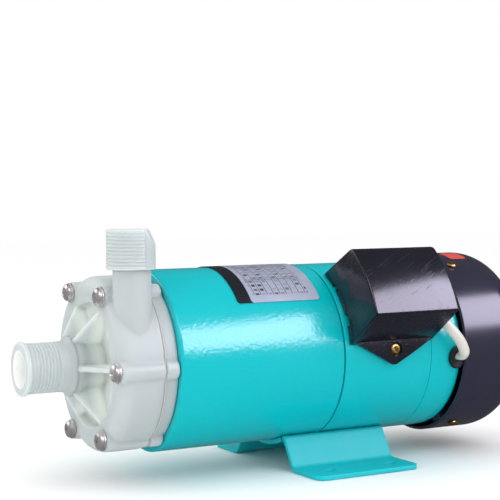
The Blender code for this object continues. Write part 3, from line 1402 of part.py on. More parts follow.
def make_motor_lead(material, parent):
    """Lead from the terminals, out of the hood and back into the motor through the grommet."""
    route = [spot(x, angle, radius).translation for x, angle, radius in (
        (HOOD_END_X - LEAD_TUCK, LEAD_EXIT_ANGLE, LEAD_EXIT_R),
        (HOOD_END_X + LEAD_STRAIGHT, LEAD_EXIT_ANGLE, LEAD_EXIT_R),
        (HOOD_END_X + LEAD_DROP_X, 11.0, LEAD_DROP_R),
        (HOOD_END_X + LEAD_BELLY_X - LEAD_STRAIGHT / 6, 4.0, LEAD_BELLY_R),
        (HOOD_END_X + LEAD_BELLY_X, -2.5, LEAD_BELLY_R),
        (GROMMET_X + LEAD_STRAIGHT / 3, GROMMET_ANGLE - 0.3, LEAD_EXIT_R),
        (GROMMET_X, GROMMET_ANGLE, LEAD_ENTRY_R),
        (GROMMET_X, GROMMET_ANGLE, MOTOR_R - LEAD_END_DEPTH / 4),
        (GROMMET_X, GROMMET_ANGLE, MOTOR_R - LEAD_END_DEPTH),
    )]
    curve = bpy.data.curves.new("motor_lead", "CURVE")
    curve.dimensions = "3D"
    curve.bevel_depth = LEAD_R
    curve.bevel_resolution = 2
    curve.use_fill_caps = True
    points = catmull_rom(route, 2)
    spline = curve.splines.new("POLY")
    spline.points.add(len(points) - 1)
    for point, co in zip(spline.points, points):
        point.co = (co.x, co.y, co.z, 1.0)
    lead = bpy.data.objects.new("motor_lead", curve)
    curve.materials.append(material)
    lead.parent = parent
    bpy.context.scene.collection.objects.link(lead)
    return lead


def make_nameplate(material, parent):
    """A thin plate that wraps over the top of the bracket's barrel."""
    bm = bmesh.new()
    low, high = NAMEPLATE_ANGLES
    outline = around(BODY_SEAT_R, low, high, 10) + around(BODY_SEAT_R + PLATE_THICKNESS, high, low, 10)
    end = SEAM_1_X - NAMEPLATE_SETBACK
    extrude(bm, outline, end - NAMEPLATE_LENGTH, end)
    return add_part("nameplate", bm, material, parent)


def main():
    clear_scene()
    materials = {
        "casing_plastic": make_material("casing_plastic", "CDD3D5", 0.38, 0.0),
        "teal_paint": make_material("teal_paint", "00C0C8", 0.3, 0.0),
        "black_plastic": make_material("black_plastic", "2D2A3A", 0.25, 0.0),
        "stainless": make_material("stainless", "B9B0B4", 0.3, 1.0),
        "steel": make_material("steel", "8C8F94", 0.4, 1.0),
        "dark_steel": make_material("dark_steel", "3A3B3E", 0.5, 1.0),
        "copper": make_material("copper", "A8552B", 0.45, 1.0),
        "magnet": make_material("magnet", "4A4B50", 0.5, 0.6),
        "ceramic": make_material("ceramic", "E9E4D8", 0.25, 0.0),
        "carbon": make_material("carbon", "2B2B2D", 0.6, 0.0),
        "rubber": make_material("rubber", "1C1C1E", 0.8, 0.0),
        "brass": make_material("brass", "B8935A", 0.35, 1.0),
        "cream": make_material("cream", "E1DED4", 0.5, 0.0),
        "plate": make_material("plate", "C9C8D0", 0.4, 0.3),
    }
    pump = empty("pump")
    pump.location = PUMP_PLACE
    rotor = empty("rotor_axis", pump)
    impeller = empty("impeller_axis", pump)

    make_front_casing(materials["casing_plastic"], pump)
    make_mouth_ring(materials["ceramic"], pump)
    make_casing_o_ring(materials["rubber"], pump)
    make_rear_casing(materials["casing_plastic"], pump)
    make_casing_screws(materials["stainless"], pump)
    make_spindle(materials["ceramic"], pump)
    make_thrust_rings(materials["ceramic"], pump)
    make_impeller(materials["casing_plastic"], impeller)
    make_inner_magnet(materials, impeller)

    make_drive_bracket(materials["teal_paint"], pump)
    make_stator_shell(materials["teal_paint"], pump)
    make_stator_core(materials["steel"], pump)
    make_stator_windings(materials["copper"], pump)
    make_rear_end_bell(materials["teal_paint"], pump)
    make_through_bolts(materials["steel"], pump)
    make_bearing("front", FRONT_BEARING_X, materials, pump, rotor)
    make_bearing("rear", REAR_BEARING_X, materials, pump, rotor)
    make_wave_washer(materials["steel"], pump)
    make_motor_shaft(materials["steel"], rotor)
    make_rotor(materials["steel"], rotor)
    make_drive_magnet(materials, rotor)
    make_cooling_fan(materials["black_plastic"], rotor)
    make_fan_clip(materials["steel"], rotor)

    make_fan_cover(materials["black_plastic"], pump)
    make_fan_cover_screws(materials["brass"], pump)
    make_motor_base(materials["teal_paint"], pump)
    make_base_screws(materials["steel"], pump)
    make_terminal_box(materials["black_plastic"], pump)
    make_flap_screw(materials["brass"], pump)
    make_capacitor(materials, pump)
    make_terminal_block(materials["cream"], pump)
    make_lead_grommet(materials["rubber"], pump)
    make_cable_inlet(materials["rubber"], pump)
    make_motor_lead(materials["cream"], pump)
    make_nameplate(materials["plate"], pump)
    bpy.context.view_layer.update()


main()
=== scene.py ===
"""Magnetic drive pump: the visible pieces and their finishes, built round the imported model.

Shapes are worked out in millimetres in the pump's own frame: x = 0 is the front face of the six screw
bosses, the pump axis is y = z = 0, the inlet looks to -x, the near side is -y and up is z. Angles round
the axis count in degrees from the near side upwards.
"""

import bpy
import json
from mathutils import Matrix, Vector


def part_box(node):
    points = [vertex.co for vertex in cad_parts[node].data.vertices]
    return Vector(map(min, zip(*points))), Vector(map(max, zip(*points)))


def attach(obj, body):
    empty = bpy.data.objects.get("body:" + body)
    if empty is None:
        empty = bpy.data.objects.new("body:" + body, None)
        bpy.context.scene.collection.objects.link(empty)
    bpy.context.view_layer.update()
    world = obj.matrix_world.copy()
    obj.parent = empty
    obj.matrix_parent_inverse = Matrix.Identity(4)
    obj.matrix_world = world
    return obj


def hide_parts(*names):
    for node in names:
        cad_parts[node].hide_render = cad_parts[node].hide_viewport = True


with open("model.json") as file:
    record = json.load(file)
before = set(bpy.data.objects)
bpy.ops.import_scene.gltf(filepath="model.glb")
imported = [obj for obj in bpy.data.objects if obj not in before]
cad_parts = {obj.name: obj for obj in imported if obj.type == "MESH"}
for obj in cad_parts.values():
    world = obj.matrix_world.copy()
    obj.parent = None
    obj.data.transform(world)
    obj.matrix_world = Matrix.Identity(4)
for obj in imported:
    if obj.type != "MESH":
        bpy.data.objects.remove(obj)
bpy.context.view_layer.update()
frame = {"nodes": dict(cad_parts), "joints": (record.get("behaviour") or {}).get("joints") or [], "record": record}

import json

import bmesh
import bpy
import numpy as np
from mathutils import Matrix, Vector

bl_info = {
    "name": "Magnetic Drive Pump",
    "version": (1, 0, 0),
    "blender": (4, 5, 0),
    "location": "View3D > Sidebar > Pump",
    "description": "Builds the visible pieces and finishes of a magnetic drive pump",
    "category": "Add Mesh",
}

MM = 0.001
INLET_TIP = -47.0
AXIS_JOINT = next(joint for joint in frame["joints"] if joint["name"] == "rotor_spin")
ORIGIN = np.array([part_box("front_casing")[0].x - INLET_TIP * MM, *AXIS_JOINT["pos_m"][1:]])

# Stations along the axis
PARTING = 31.0
FLANGE = (31.3, 41.2)
BARREL = (41.5, 165.5)
SHELL = (165.8, 239.2)
BELL = (239.5, 268.0)
COVER = (266.4, 332.0)
HOOD = (171.0, 240.0)
BASE = (135.45, 217.95)
FOIL = (90.0, 154.4)
LABEL = (287.0, 302.0)
COVER_SCREW_X = 280.0

# Radii
MOTOR_R = 62.5
WRAP_R = 62.8
COVER_R = 67.3
HOOD_R = 99.5
DISH_R = 59.4
BOSS_R = 7.2
SCREW_HOLE_R = 3.35
INLET_R = 16.9
INLET_BORE_R = 12.0
OUTLET_R = 16.6
OUTLET_BORE_R = 9.0
LEAD_R = 3.8

# Places: (x, y) of the outlet, (x, angle) of what stands on the motor, (radius, angle) of holes along x
BOSS_ANGLES = np.arange(6) * 60.0
BOSS_PITCH_R = 54.5
COVER_SCREW_ANGLES = (61.0, 119.0, -61.0, -119.0)
OUTLET = (15.6, -42.0)
HOOD_SCREW = (206.0, 3.2)
BELL_GROMMET = (261.4, -5.2)
LEAD_HOLE = (72.0, 19.0)
CABLE_INLET = (81.15, 41.0)

# The nameplate's flat size, the angles that it covers, and its dark band and printed table
FOIL_SIZE = (64.4, 88.3)
FOIL_TURN = (39.5, 120.0)
FOIL_BAND = 10.5
TABLE_MIDDLE = (35.5, 44.15)
TABLE_HALF = (22.0, 38.0)

# The fitted camera: yaw, pitch and roll in degrees, place, and lens from its focal length in pixels
CAMERA_TURN = (28.69, -1.96, -0.62)
CAMERA_PLACE = (-328.58, -830.77, 106.22)
SENSOR_WIDTH = 36.0
LENS = 1324.8 / 500 * SENSOR_WIDTH


def linear(hex_colour):
    """An sRGB hex colour such as "02c9d0" as linear RGBA."""
    value = np.array([int(hex_colour[k:k + 2], 16) for k in (0, 2, 4)]) / 255
    value = np.where(value <= 0.04045, value / 12.92, ((value + 0.055) / 1.055) ** 2.4)
    return (*value.tolist(), 1.0)


# Surfaces

def grid_faces(rows, columns, wrap_rows, wrap_columns):
    """Quads between neighbours of a rows x columns grid; a wrapped direction joins its last to its first."""
    index = np.arange(rows * columns).reshape(rows, columns)
    if wrap_rows:
        index = np.vstack([index, index[:1]])
    if wrap_columns:
        index = np.hstack([index, index[:, :1]])
    quads = np.stack([index[:-1, :-1], index[1:, :-1], index[1:, 1:], index[:-1, 1:]], axis=-1)
    return quads.reshape(-1, 4).tolist()


def rounded(corners, radii, steps=6):
    """A polygon's corners turned into arcs of the given radii.

    The arc at a corner is the rational quadratic curve between its two tangent points, weighted by the
    cosine of half the turn, which is an exact circle. A radius of 0 keeps the corner.
    """
    corners = np.asarray(corners, float)
    radii = np.broadcast_to(np.asarray(radii, float), len(corners))
    before = np.roll(corners, 1, axis=0) - corners
    after = np.roll(corners, -1, axis=0) - corners
    before /= np.linalg.norm(before, axis=1, keepdims=True)
    after /= np.linalg.norm(after, axis=1, keepdims=True)
    cos_turn = np.clip(-np.sum(before * after, axis=1), -1, 1)
    weight = np.sqrt((1 + cos_turn) / 2)[:, None, None]
    tangent = (radii * np.sqrt((1 - cos_turn) / (1 + cos_turn + 1e-9)))[:, None]
    t = np.linspace(0, 1, steps)[None, :, None]
    start, end = (corners + before * tangent)[:, None], (corners + after * tangent)[:, None]
    parts = (1 - t) ** 2, 2 * t * (1 - t) * weight, t ** 2
    arcs = (parts[0] * start + parts[1] * corners[:, None] + parts[2] * end) / sum(parts)
    flat = arcs.reshape(-1, 2)
    keep = np.linalg.norm(flat - np.roll(flat, 1, axis=0), axis=1) > 1e-6
    return flat[keep]


def turned(profile, sides=128, loop=True):
    """A profile of (x, radius) turned about x: (x, -r cos t, r sin t).

    A loop has no point on the axis; otherwise the first and last points are poles on it.
    """
    x, r = np.asarray(profile, float).T
    t = np.linspace(0, 2 * np.pi, sides, endpoint=False)
    points = np.stack([np.repeat(x[:, None], sides, 1), -np.outer(r, np.cos(t)), np.outer(r, np.sin(t))], -1)
    return points.reshape(-1, 3), grid_faces(len(x), sides, loop, True)


def lofted(loops):
    """Closed loops of equally many points joined one after another, with a flat face on each end."""
    loops = np.asarray(loops, float)
    rows, columns = loops.shape[:2]
    faces = grid_faces(rows, columns, False, True)
    faces.append(list(range(columns)))
    faces.append(list(range((rows - 1) * columns, rows * columns)))
    return loops.reshape(-1, 3), faces


def block(low, high):
    """A box from its low corner to its high one, as a loft of two rectangles."""
    (x0, y0, z0), (x1, y1, z1) = low, high
    return lofted([[(x0, y0, z), (x1, y0, z), (x1, y1, z), (x0, y1, z)] for z in (z0, z1)])


def extruded(outline, start, end):
    """An outline of (y, z) carried along x from start to end."""
    outline = np.asarray(outline, float)
    return lofted([np.column_stack([np.full(len(outline), x), outline]) for x in (start, end)])


def rod(start, end, radius, sides=32):
    """A plain round cutter along x."""
    return turned([(start, 0), (start, radius), (end, radius), (end, 0)], sides, loop=False)


def tube_along(path, radius, sides=24):
    """A circle carried along a path, square to its tangent; the end radii of 0 close it to poles.

    The circle's first direction is the tangent crossed with a vector that the path never follows.
    """
    tangent = np.gradient(path, axis=0)
    tangent /= np.linalg.norm(tangent, axis=1, keepdims=True)
    first = np.cross(tangent, np.array([0.7071, 0.0, 0.7071]))
    first /= np.linalg.norm(first, axis=1, keepdims=True)
    second = np.cross(tangent, first)
    t = np.linspace(0, 2 * np.pi, sides, endpoint=False)[None, :, None]
    ring = first[:, None] * np.cos(t) + second[:, None] * np.sin(t)
    points = path[:, None] + ring * np.asarray(radius, float)[:, None, None]
    return points.reshape(-1, 3), grid_faces(len(path), sides, False, True)


def plate(lower, upper):
    """A closed sheet between two equal grids of points, joined round their common rim."""
    rows, columns = lower.shape[:2]
    size = rows * columns
    index = np.arange(size).reshape(rows, columns)
    rim = np.concatenate([index[0], index[1:, -1], index[-1, -2::-1], index[-2:0:-1, 0]])
    after = np.roll(rim, -1)
    faces = grid_faces(rows, columns, False, False)
    faces += [[size + k for k in face] for face in faces]
    faces += np.column_stack([rim, after, after + size, rim + size]).tolist()
    return np.concatenate([lower.reshape(-1, 3), upper.reshape(-1, 3)]), faces


def cornered(reach, corner):
    """How far a plate's edge draws in at a distance from its end, for a round corner."""
    depth = np.clip(corner - reach, 0, corner)
    return corner - np.sqrt(corner ** 2 - depth ** 2)


def wrapped(x_range, angles, radius, thickness, corner, columns=64, rows=64):
    """A thin plate bent round the axis: (x, -r cos a, r sin a) on two radii, with round corners."""
    u = np.linspace(0, 1, columns)
    turn = np.radians(np.linspace(*angles, rows))
    reach = np.abs(turn - turn[0]) * radius
    inset = cornered(np.minimum(reach, reach[-1] - reach), corner)[:, None]
    x = x_range[0] + inset + (x_range[1] - x_range[0] - 2 * inset) * u[None]
    spread = np.ones_like(x)
    sheets = [np.stack([x, -r * np.cos(turn)[:, None] * spread, r * np.sin(turn)[:, None] * spread], -1)
              for r in (radius, radius + thickness)]
    return plate(*sheets)


def threaded(stations, base, depth, pitch, bore, trim=None, sides=144):
    """A threaded tube along x, closed by its bore.

    Its radius is the base profile at x, less the thread's depth times a cosine wave of x / pitch - t / turn
    between the first and last thread stations, fading in and out over one pitch. trim may limit it.
    """
    t = np.linspace(0, 2 * np.pi, sides, endpoint=False)[None]
    x = np.arange(base[0][0], base[-1][0] + 0.05, 0.15)[:, None]
    smooth = np.interp(x, *np.asarray(base, float).T)
    fade = np.clip((x - stations[0]) / pitch, 0, 1) * np.clip((stations[1] - x) / pitch, 0, 1)
    groove = 0.5 - 0.5 * np.cos(2 * np.pi * x / pitch - t)
    radius = smooth - depth * groove * fade
    if trim:
        radius = trim(x, t, radius)
    radius = np.vstack([radius, np.full((1, sides), bore), np.full((1, sides), bore)])
    x = np.vstack([x, x[-1:], x[:1]]) * np.ones_like(radius)
    points = np.stack([x, -radius * np.cos(t), radius * np.sin(t)], -1)
    return points.reshape(-1, 3), grid_faces(len(x), sides, True, True)


def spot(shape, x, angle, radius=0.0):
    """A shape built along x, stood up at a place round the axis so that its +x points outwards."""
    a = np.radians(angle)
    outward = np.array([0, -np.cos(a), np.sin(a)])
    sideways = np.array([0, np.sin(a), np.cos(a)])
    points, faces = shape
    along = np.array([1.0, 0, 0])
    return (np.outer(points[:, 0] + radius, outward) + np.outer(points[:, 1], along)
            + np.outer(points[:, 2], sideways) + along * x), faces


def upright(shape, x, y):
    """A shape built along x, stood up so that +x becomes +z, over the point (x, y)."""
    points, faces = shape
    return np.column_stack([points[:, 1] + x, points[:, 2] + y, points[:, 0]]), faces


def around(radius, angles):
    """Points (y, z) on a circle round the axis."""
    a = np.radians(angles)
    return np.column_stack([-radius * np.cos(a), radius * np.sin(a)])


def beside(shape, radius, angle):
    """A shape built along x on the axis, moved out to a radius at an angle round it."""
    points, faces = shape
    return points + np.array([0, *around(radius, angle)[0]]), faces


def through(knots, steps):
    """A smooth path through knots, with its ends carried on straight.

    Between knots b and c, with a before and d after them, it is the cubic
    (2b + (c - a) t + (2a - 5b + 4c - d) t^2 + (3b - a - 3c + d) t^3) / 2 for t from 0 to 1.
    """
    knots = np.vstack([2 * knots[:1] - knots[1:2], knots, 2 * knots[-1:] - knots[-2:-1]])
    t = np.linspace(0, 1, steps, endpoint=False)[None, :, None]
    a, b, c, d = (knots[k:k + len(knots) - 3, None] for k in range(4))
    run = 2 * b + (c - a) * t + (2 * a - 5 * b + 4 * c - d) * t ** 2 + (3 * b - a - 3 * c + d) * t ** 3
    return np.vstack([(0.5 * run).reshape(-1, 3), knots[-2:-1]])


# Objects

def solid(name, shapes):
    """One object of several closed shapes, welded, facing outwards and set down in the frame's place."""
    points, faces, count = [], [], 0
    for shape_points, shape_faces in shapes:
        points.append(shape_points)
        faces += [[k + count for k in face] for face in shape_faces]
        count += len(shape_points)
    mesh = bpy.data.meshes.new(name)
    mesh.from_pydata(np.concatenate(points) * MM + ORIGIN, [], faces)
    work = bmesh.new()
    work.from_mesh(mesh)
    bmesh.ops.remove_doubles(work, verts=work.verts, dist=0.002 * MM)
    bmesh.ops.recalc_face_normals(work, faces=work.faces)
    work.to_mesh(mesh)
    work.free()
    piece = bpy.data.objects.new(name, mesh)
    bpy.context.scene.collection.objects.link(piece)
    return piece


def settle(piece):
    """Works a piece's modifiers into its mesh."""
    depsgraph = bpy.context.evaluated_depsgraph_get()
    mesh = bpy.data.meshes.new_from_object(piece.evaluated_get(depsgraph))
    piece.modifiers.clear()
    old, piece.data = piece.data, mesh
    bpy.data.meshes.remove(old)


def combine(piece, shapes, operation="DIFFERENCE"):
    """Cuts shapes out of a piece or joins them to it."""
    other = solid("cutter", shapes)
    modifier = piece.modifiers.new("combine", "BOOLEAN")
    modifier.operation = operation
    modifier.solver = "MANIFOLD"
    modifier.object = other
    settle(piece)
    bpy.data.objects.remove(other, do_unlink=True)


def melt(piece, voxel, rounds):
    """Melts crossing solids into one moulded skin with soft inner corners."""
    remesh = piece.modifiers.new("remesh", "REMESH")
    remesh.mode = "VOXEL"
    remesh.voxel_size = voxel
    smooth = piece.modifiers.new("smooth", "SMOOTH")
    smooth.factor = 0.5
    smooth.iterations = rounds
    settle(piece)


def soften(piece, width, segments=2, angle=40.0):
    """Rounds a piece's edges, as tumbling, paint or a mould does."""
    bevel = piece.modifiers.new("bevel", "BEVEL")
    bevel.width = width * MM
    bevel.segments = segments
    bevel.limit_method = "ANGLE"
    bevel.angle_limit = np.radians(angle)
    bevel.miter_outer = "MITER_ARC"
    bevel.harden_normals = False
    settle(piece)


def finish_piece(piece, finish, nodes, body="pump_body", angle=35.0):
    """Shades a piece, gives it its material, ties it to its body and hides the nodes that it stands for."""
    piece.data.materials.clear()
    piece.data.materials.append(FINISHES[finish])
    piece.data.shade_smooth()
    piece.data.set_sharp_from_angle(angle=np.radians(angle))
    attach(piece, body)
    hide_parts(*nodes)


# Materials

# A mix node's setting for colours
RGBA = {"data_type": "RGBA"}


def add_node(tree, kind, settings, inputs):
    """Adds a shader node; settings are its own properties, and an input is a constant or a socket."""
    node = tree.nodes.new("ShaderNode" + kind)
    for name, value in settings.items():
        setattr(node, name, value)
    for key, value in inputs.items():
        if isinstance(value, bpy.types.NodeSocket):
            tree.links.new(value, node.inputs[key])
        else:
            node.inputs[key].default_value = value
    return node


def make_finish(name, tones, mottle, roughness, relief=None, stretch=(1, 1, 1), **constants):
    """A surface whose tone and roughness drift over mottle millimetres.

    relief is the (size, depth) of its fine bumps in millimetres, and stretch draws the pattern out.
    Constants go to the shader's own sockets.
    """
    material = bpy.data.materials.new(name)
    material.use_nodes = True
    tree = material.node_tree
    shader = tree.nodes["Principled BSDF"]
    place = add_node(tree, "TexCoord", {}, {})
    drawn = add_node(tree, "Mapping", {}, {"Vector": place.outputs["Object"], "Scale": stretch})
    drift = add_node(tree, "TexNoise", {}, {"Vector": drawn.outputs[0], "Scale": 1 / (mottle * MM),
                                            "Detail": 5.0, "Roughness": 0.6})
    tone = add_node(tree, "Mix", RGBA, {0: drift.outputs["Fac"], 6: linear(tones[0]), 7: linear(tones[1])})
    sheen = add_node(tree, "MapRange", {}, {"Value": drift.outputs["Fac"], "From Min": 0.3, "From Max": 0.7,
                                            "To Min": roughness[0], "To Max": roughness[1]})
    tree.links.new(tone.outputs[2], shader.inputs["Base Color"])
    tree.links.new(sheen.outputs[0], shader.inputs["Roughness"])
    if relief:
        bumps = add_node(tree, "TexNoise", {}, {"Vector": drawn.outputs[0], "Scale": 1 / (relief[0] * MM),
                                                "Detail": 2.0})
        bump = add_node(tree, "Bump", {}, {"Height": bumps.outputs["Fac"], "Distance": relief[1] * MM,
                                           "Strength": 1.0})
        tree.links.new(bump.outputs[0], shader.inputs["Normal"])
    for key, value in constants.items():
        shader.inputs[key.replace("_", " ")].default_value = value
    return material


def beyond(tree, value, middle, half):
    """A mask that is 1 where a value lies farther than half from the middle, and 0 elsewhere."""
    offset = add_node(tree, "Math", {"operation": "SUBTRACT"}, {0: value, 1: middle})
    reach = add_node(tree, "Math", {"operation": "ABSOLUTE"}, {0: offset.outputs[0]})
    return add_node(tree, "Math", {"operation": "GREATER_THAN"}, {0: reach.outputs[0], 1: half}).outputs[0]


def make_plate_print(colours):
    """Printed foil: a dark band at one end, then a ruled table of blank bars, on the plate's own UV map."""
    material = make_finish("printed_foil", ("b2b9d0", "c0c5da"), 9.0, (0.3, 0.42), Metallic=0.35)
    tree = material.node_tree
    shader = tree.nodes["Principled BSDF"]
    ground = shader.inputs["Base Color"].links[0].from_socket
    sheet = add_node(tree, "TexCoord", {}, {}).outputs["UV"]
    # The UV map spans the plate, so after this one unit of the pattern is a millimetre
    millimetres = add_node(tree, "Mapping", {}, {"Vector": sheet, "Scale": (*FOIL_SIZE, 1.0)}).outputs[0]
    turned_sheet = add_node(tree, "Mapping", {}, {"Vector": millimetres, "Rotation": (0, 0, np.pi / 2)})
    ink, bare = linear("2b303c"), linear("ffffff")
    grid = {"offset": 0.0, "squash": 1.0}
    # Ruled cells of 22 x 5 mm, and in them bars of 2.2 x 2.8 mm, each of its own darkness
    rows = add_node(tree, "TexBrick", grid, {
        "Vector": turned_sheet.outputs[0], "Color1": bare, "Color2": bare, "Mortar": ink, "Scale": 1.0,
        "Mortar Size": 0.25, "Mortar Smooth": 0.2, "Brick Width": 22.0, "Row Height": 5.0})
    bars = add_node(tree, "TexBrick", grid, {
        "Vector": turned_sheet.outputs[0], "Color1": ink, "Color2": bare, "Mortar": bare, "Scale": 1.0,
        "Mortar Size": 1.1, "Mortar Smooth": 0.1, "Brick Width": 4.4, "Row Height": 5.0, "Bias": 0.0})
    print_layer = add_node(tree, "Mix", {"data_type": "RGBA", "blend_type": "MULTIPLY"},
                           {0: 1.0, 6: rows.outputs[0], 7: bars.outputs[0]})
    inked = add_node(tree, "Mix", {"data_type": "RGBA", "blend_type": "MULTIPLY"},
                     {0: 0.95, 6: ground, 7: print_layer.outputs[2]})
    across, along = add_node(tree, "SeparateXYZ", {}, {0: millimetres}).outputs[:2]
    band = add_node(tree, "Math", {"operation": "LESS_THAN"}, {0: across, 1: FOIL_BAND})
    margin = add_node(tree, "Math", {"operation": "MAXIMUM"}, {
        0: beyond(tree, across, TABLE_MIDDLE[0], TABLE_HALF[0]),
        1: beyond(tree, along, TABLE_MIDDLE[1], TABLE_HALF[1])})
    plain = add_node(tree, "Mix", RGBA, {0: margin.outputs[0], 6: inked.outputs[2], 7: ground})
    face = add_node(tree, "Mix", RGBA,
                    {0: band.outputs[0], 6: plain.outputs[2], 7: tuple(colours.plate_band)})
    tree.links.new(face.outputs[2], shader.inputs["Base Color"])
    return material


def scratched(material):
    """Fine scratches that dull the gloss: the crests of a noise drawn out along one direction."""
    tree = material.node_tree
    gloss = tree.nodes["Principled BSDF"].inputs["Roughness"]
    place = add_node(tree, "TexCoord", {}, {})
    drawn = add_node(tree, "Mapping", {"vector_type": "TEXTURE"}, {
        "Vector": place.outputs["Object"], "Rotation": (0.0, -0.35, 0.38),
        "Scale": (60 * MM, 1.4 * MM, 1.4 * MM)})
    lines = add_node(tree, "TexNoise", {}, {"Vector": drawn.outputs[0], "Scale": 1.0, "Detail": 3.0})
    crests = add_node(tree, "MapRange", {}, {
        "Value": lines.outputs["Fac"], "From Min": 0.60, "From Max": 0.68, "To Min": 0.0, "To Max": 0.12})
    dulled = add_node(tree, "Math", {"operation": "ADD"},
                      {0: gloss.links[0].from_socket, 1: crests.outputs[0]})
    tree.links.new(dulled.outputs[0], gloss)
    return material


def painted_glow(material):
    """Paints light into the plastic's colour where its walls are thin: a painted glow, lighter in the rib pockets,
    lightest in the inlet's bore.
    """
    tree = material.node_tree
    base = tree.nodes["Principled BSDF"].inputs["Base Color"]
    place = add_node(tree, "TexCoord", {}, {}).outputs["Object"]
    # In millimetres, the place from the pump's origin and the way out from its axis
    middle = -ORIGIN / MM
    local = add_node(tree, "Mapping", {}, {"Vector": place, "Scale": (1000, 1000, 1000), "Location": middle})
    spoke = add_node(tree, "Mapping", {}, {"Vector": place, "Scale": (0, 1000, 1000),
                                           "Location": middle * (0, 1, 1)})
    along = add_node(tree, "SeparateXYZ", {}, {0: local.outputs[0]}).outputs[0]
    out = add_node(tree, "VectorMath", {"operation": "LENGTH"}, {0: spoke.outputs[0]}).outputs["Value"]
    inside = add_node(tree, "MapRange", {}, {"Value": out, "From Min": 44.0, "From Max": 38.0})
    behind = add_node(tree, "MapRange", {}, {"Value": along, "From Min": -4.0, "From Max": 3.0})
    pocket = add_node(tree, "Math", {"operation": "MULTIPLY"}, {0: inside.outputs[0], 1: behind.outputs[0]})
    bore = add_node(tree, "MapRange", {}, {"Value": out, "From Min": 12.9, "From Max": 12.3})
    # Painted light: pale tones in the rib pockets and the inlet's bore stand in for light shining through the thin
    # plastic and lift their shade
    glow = add_node(tree, "Mix", RGBA, {0: pocket.outputs[0], 6: base.links[0].from_socket,
                                                         7: linear("dde5de")})
    face = add_node(tree, "Mix", RGBA, {0: bore.outputs[0], 6: glow.outputs[2], 7: linear("fcfffa")})
    tree.links.new(face.outputs[2], base)
    return material


def make_finishes(colours):
    """Every material of the pump, by the name of its slot or of the piece that it is made for."""
    return {
        # Natural polypropylene, injection moulded: milky, light scatters a few millimetres into it
        # Its rib pockets and inlet bore also get painted light: pale tones for light through the thin walls
        "casing_plastic": painted_glow(make_finish(
            "natural_polypropylene", ("b6bdbe", "c0c7c8"), 30.0, (0.46, 0.56), (0.9, 0.006),
            Subsurface_Weight=1.0, Subsurface_Scale=0.012, Subsurface_Radius=(1.0, 1.0, 0.95), IOR=1.49)),
        # Stoving enamel over cast and rolled metal: glossy, with an orange peel drawn coarse enough to show
        "teal_paint": make_finish("teal_stoving_enamel", ("01b6be", "02bbc3"), 45.0, (0.16, 0.22),
                                  (2.4, 0.22), IOR=1.5),
        # The same enamel sprayed thinner on the sheet foot: duller and pebbled
        "foot_paint": make_finish("teal_sheet_enamel", ("01c0c9", "02c6cf"), 20.0, (0.52, 0.62), (1.2, 0.07),
                                  Specular_IOR_Level=0.3, IOR=1.5),
        # ABS fan cover, moulded: near black with a blue cast and a soft gloss
        "black_plastic": make_finish("black_moulded_abs", ("282838", "2e2e40"), 40.0, (0.18, 0.25),
                                     (2.2, 0.01), IOR=1.54),
        # ABS hood, from a polished tool: deeper and glossier, so handling scratches show in its reflections
        "hood": scratched(make_finish("polished_black_abs", ("15151f", "1b1b28"), 35.0, (0.16, 0.24),
                                      (3.0, 0.008), IOR=1.54)),
        # Stainless steel, cold formed and tumbled: satin, light grey with a faint warm cast
        "stainless": make_finish("tumbled_stainless", ("d8d0d3", "e8e2e4"), 3.0, (0.30, 0.42), (0.7, 0.004),
                                 Metallic=0.8),
        # Zinc plated steel with yellow passivation: dull gold
        "brass_plated": make_finish("yellow_zinc_plating", ("9c7a42", "bd9c60"), 2.0, (0.25, 0.42),
                                    (0.6, 0.01), Metallic=1.0),
        # Bright steel, drawn: fine lines along the axis
        "steel": make_finish("drawn_steel", ("a9abad", "bdbfc1"), 4.0, (0.26, 0.38), (0.5, 0.006),
                             (0.15, 1, 1), Metallic=1.0),
        # Oiled silicon steel sheets, stacked, so dark and finely lined across the axis
        "dark_steel": make_finish("laminated_core_steel", ("44464a", "5a5d61"), 2.0, (0.4, 0.55),
                                  (0.5, 0.03), (3.0, 0.2, 0.2), Metallic=0.9),
        # Enamelled copper wire, wound and varnished
        "copper": make_finish("varnished_copper_winding", ("8d4a22", "b5672f"), 1.6, (0.3, 0.45),
                              (0.9, 0.25), (0.25, 1, 1), Metallic=0.85),
        # Sintered ferrite, ground: charcoal with a dull sheen
        "magnet": make_finish("ground_ferrite", ("2e3033", "3b3d41"), 1.5, (0.45, 0.6), (0.6, 0.01)),
        # Alumina, ground and lapped: warm white and hard
        "ceramic": make_finish("lapped_alumina", ("e6e1d4", "efeadd"), 6.0, (0.18, 0.28), (0.8, 0.004),
                               IOR=1.76),
        # Carbon graphite, machined: matt charcoal
        "carbon": make_finish("machined_graphite", ("25262a", "33343a"), 1.0, (0.4, 0.55), (0.5, 0.008)),
        # EPDM rubber, moulded: black and matt
        "rubber": make_finish("black_epdm", ("141518", "1e1f23"), 5.0, (0.5, 0.65), (0.8, 0.02)),
        # Thermoplastic of the capacitor's can and the terminal strip, moulded: cream and satin
        "cream": make_finish("cream_thermoplastic", ("d8d2bd", "e2dcc8"), 12.0, (0.35, 0.45), (0.9, 0.01)),
        # PVC lead sheath: soft, faintly greasy gloss
        "lead_jacket": make_finish("cream_pvc_sheath", ("cfcdc2", "dad8cf"), 8.0, (0.32, 0.42),
                                   (1.0, 0.015), Subsurface_Weight=0.15, Subsurface_Scale=0.002),
        # Aluminium foil, printed
        "plate": make_plate_print(colours),
        # Silicone sheet, pinched between the casings: a pale warm line
        "gasket": make_finish("pale_silicone", ("dfdad2", "e6e1d9"), 4.0, (0.4, 0.5)),
        # Vinyl label, left bare
        "label": make_finish("red_vinyl", ("d64a40", "e0574c"), 6.0, (0.35, 0.45), (1.0, 0.01)),
    }


# Settings

# Materials by name, filled by the first operator
FINISHES = {}


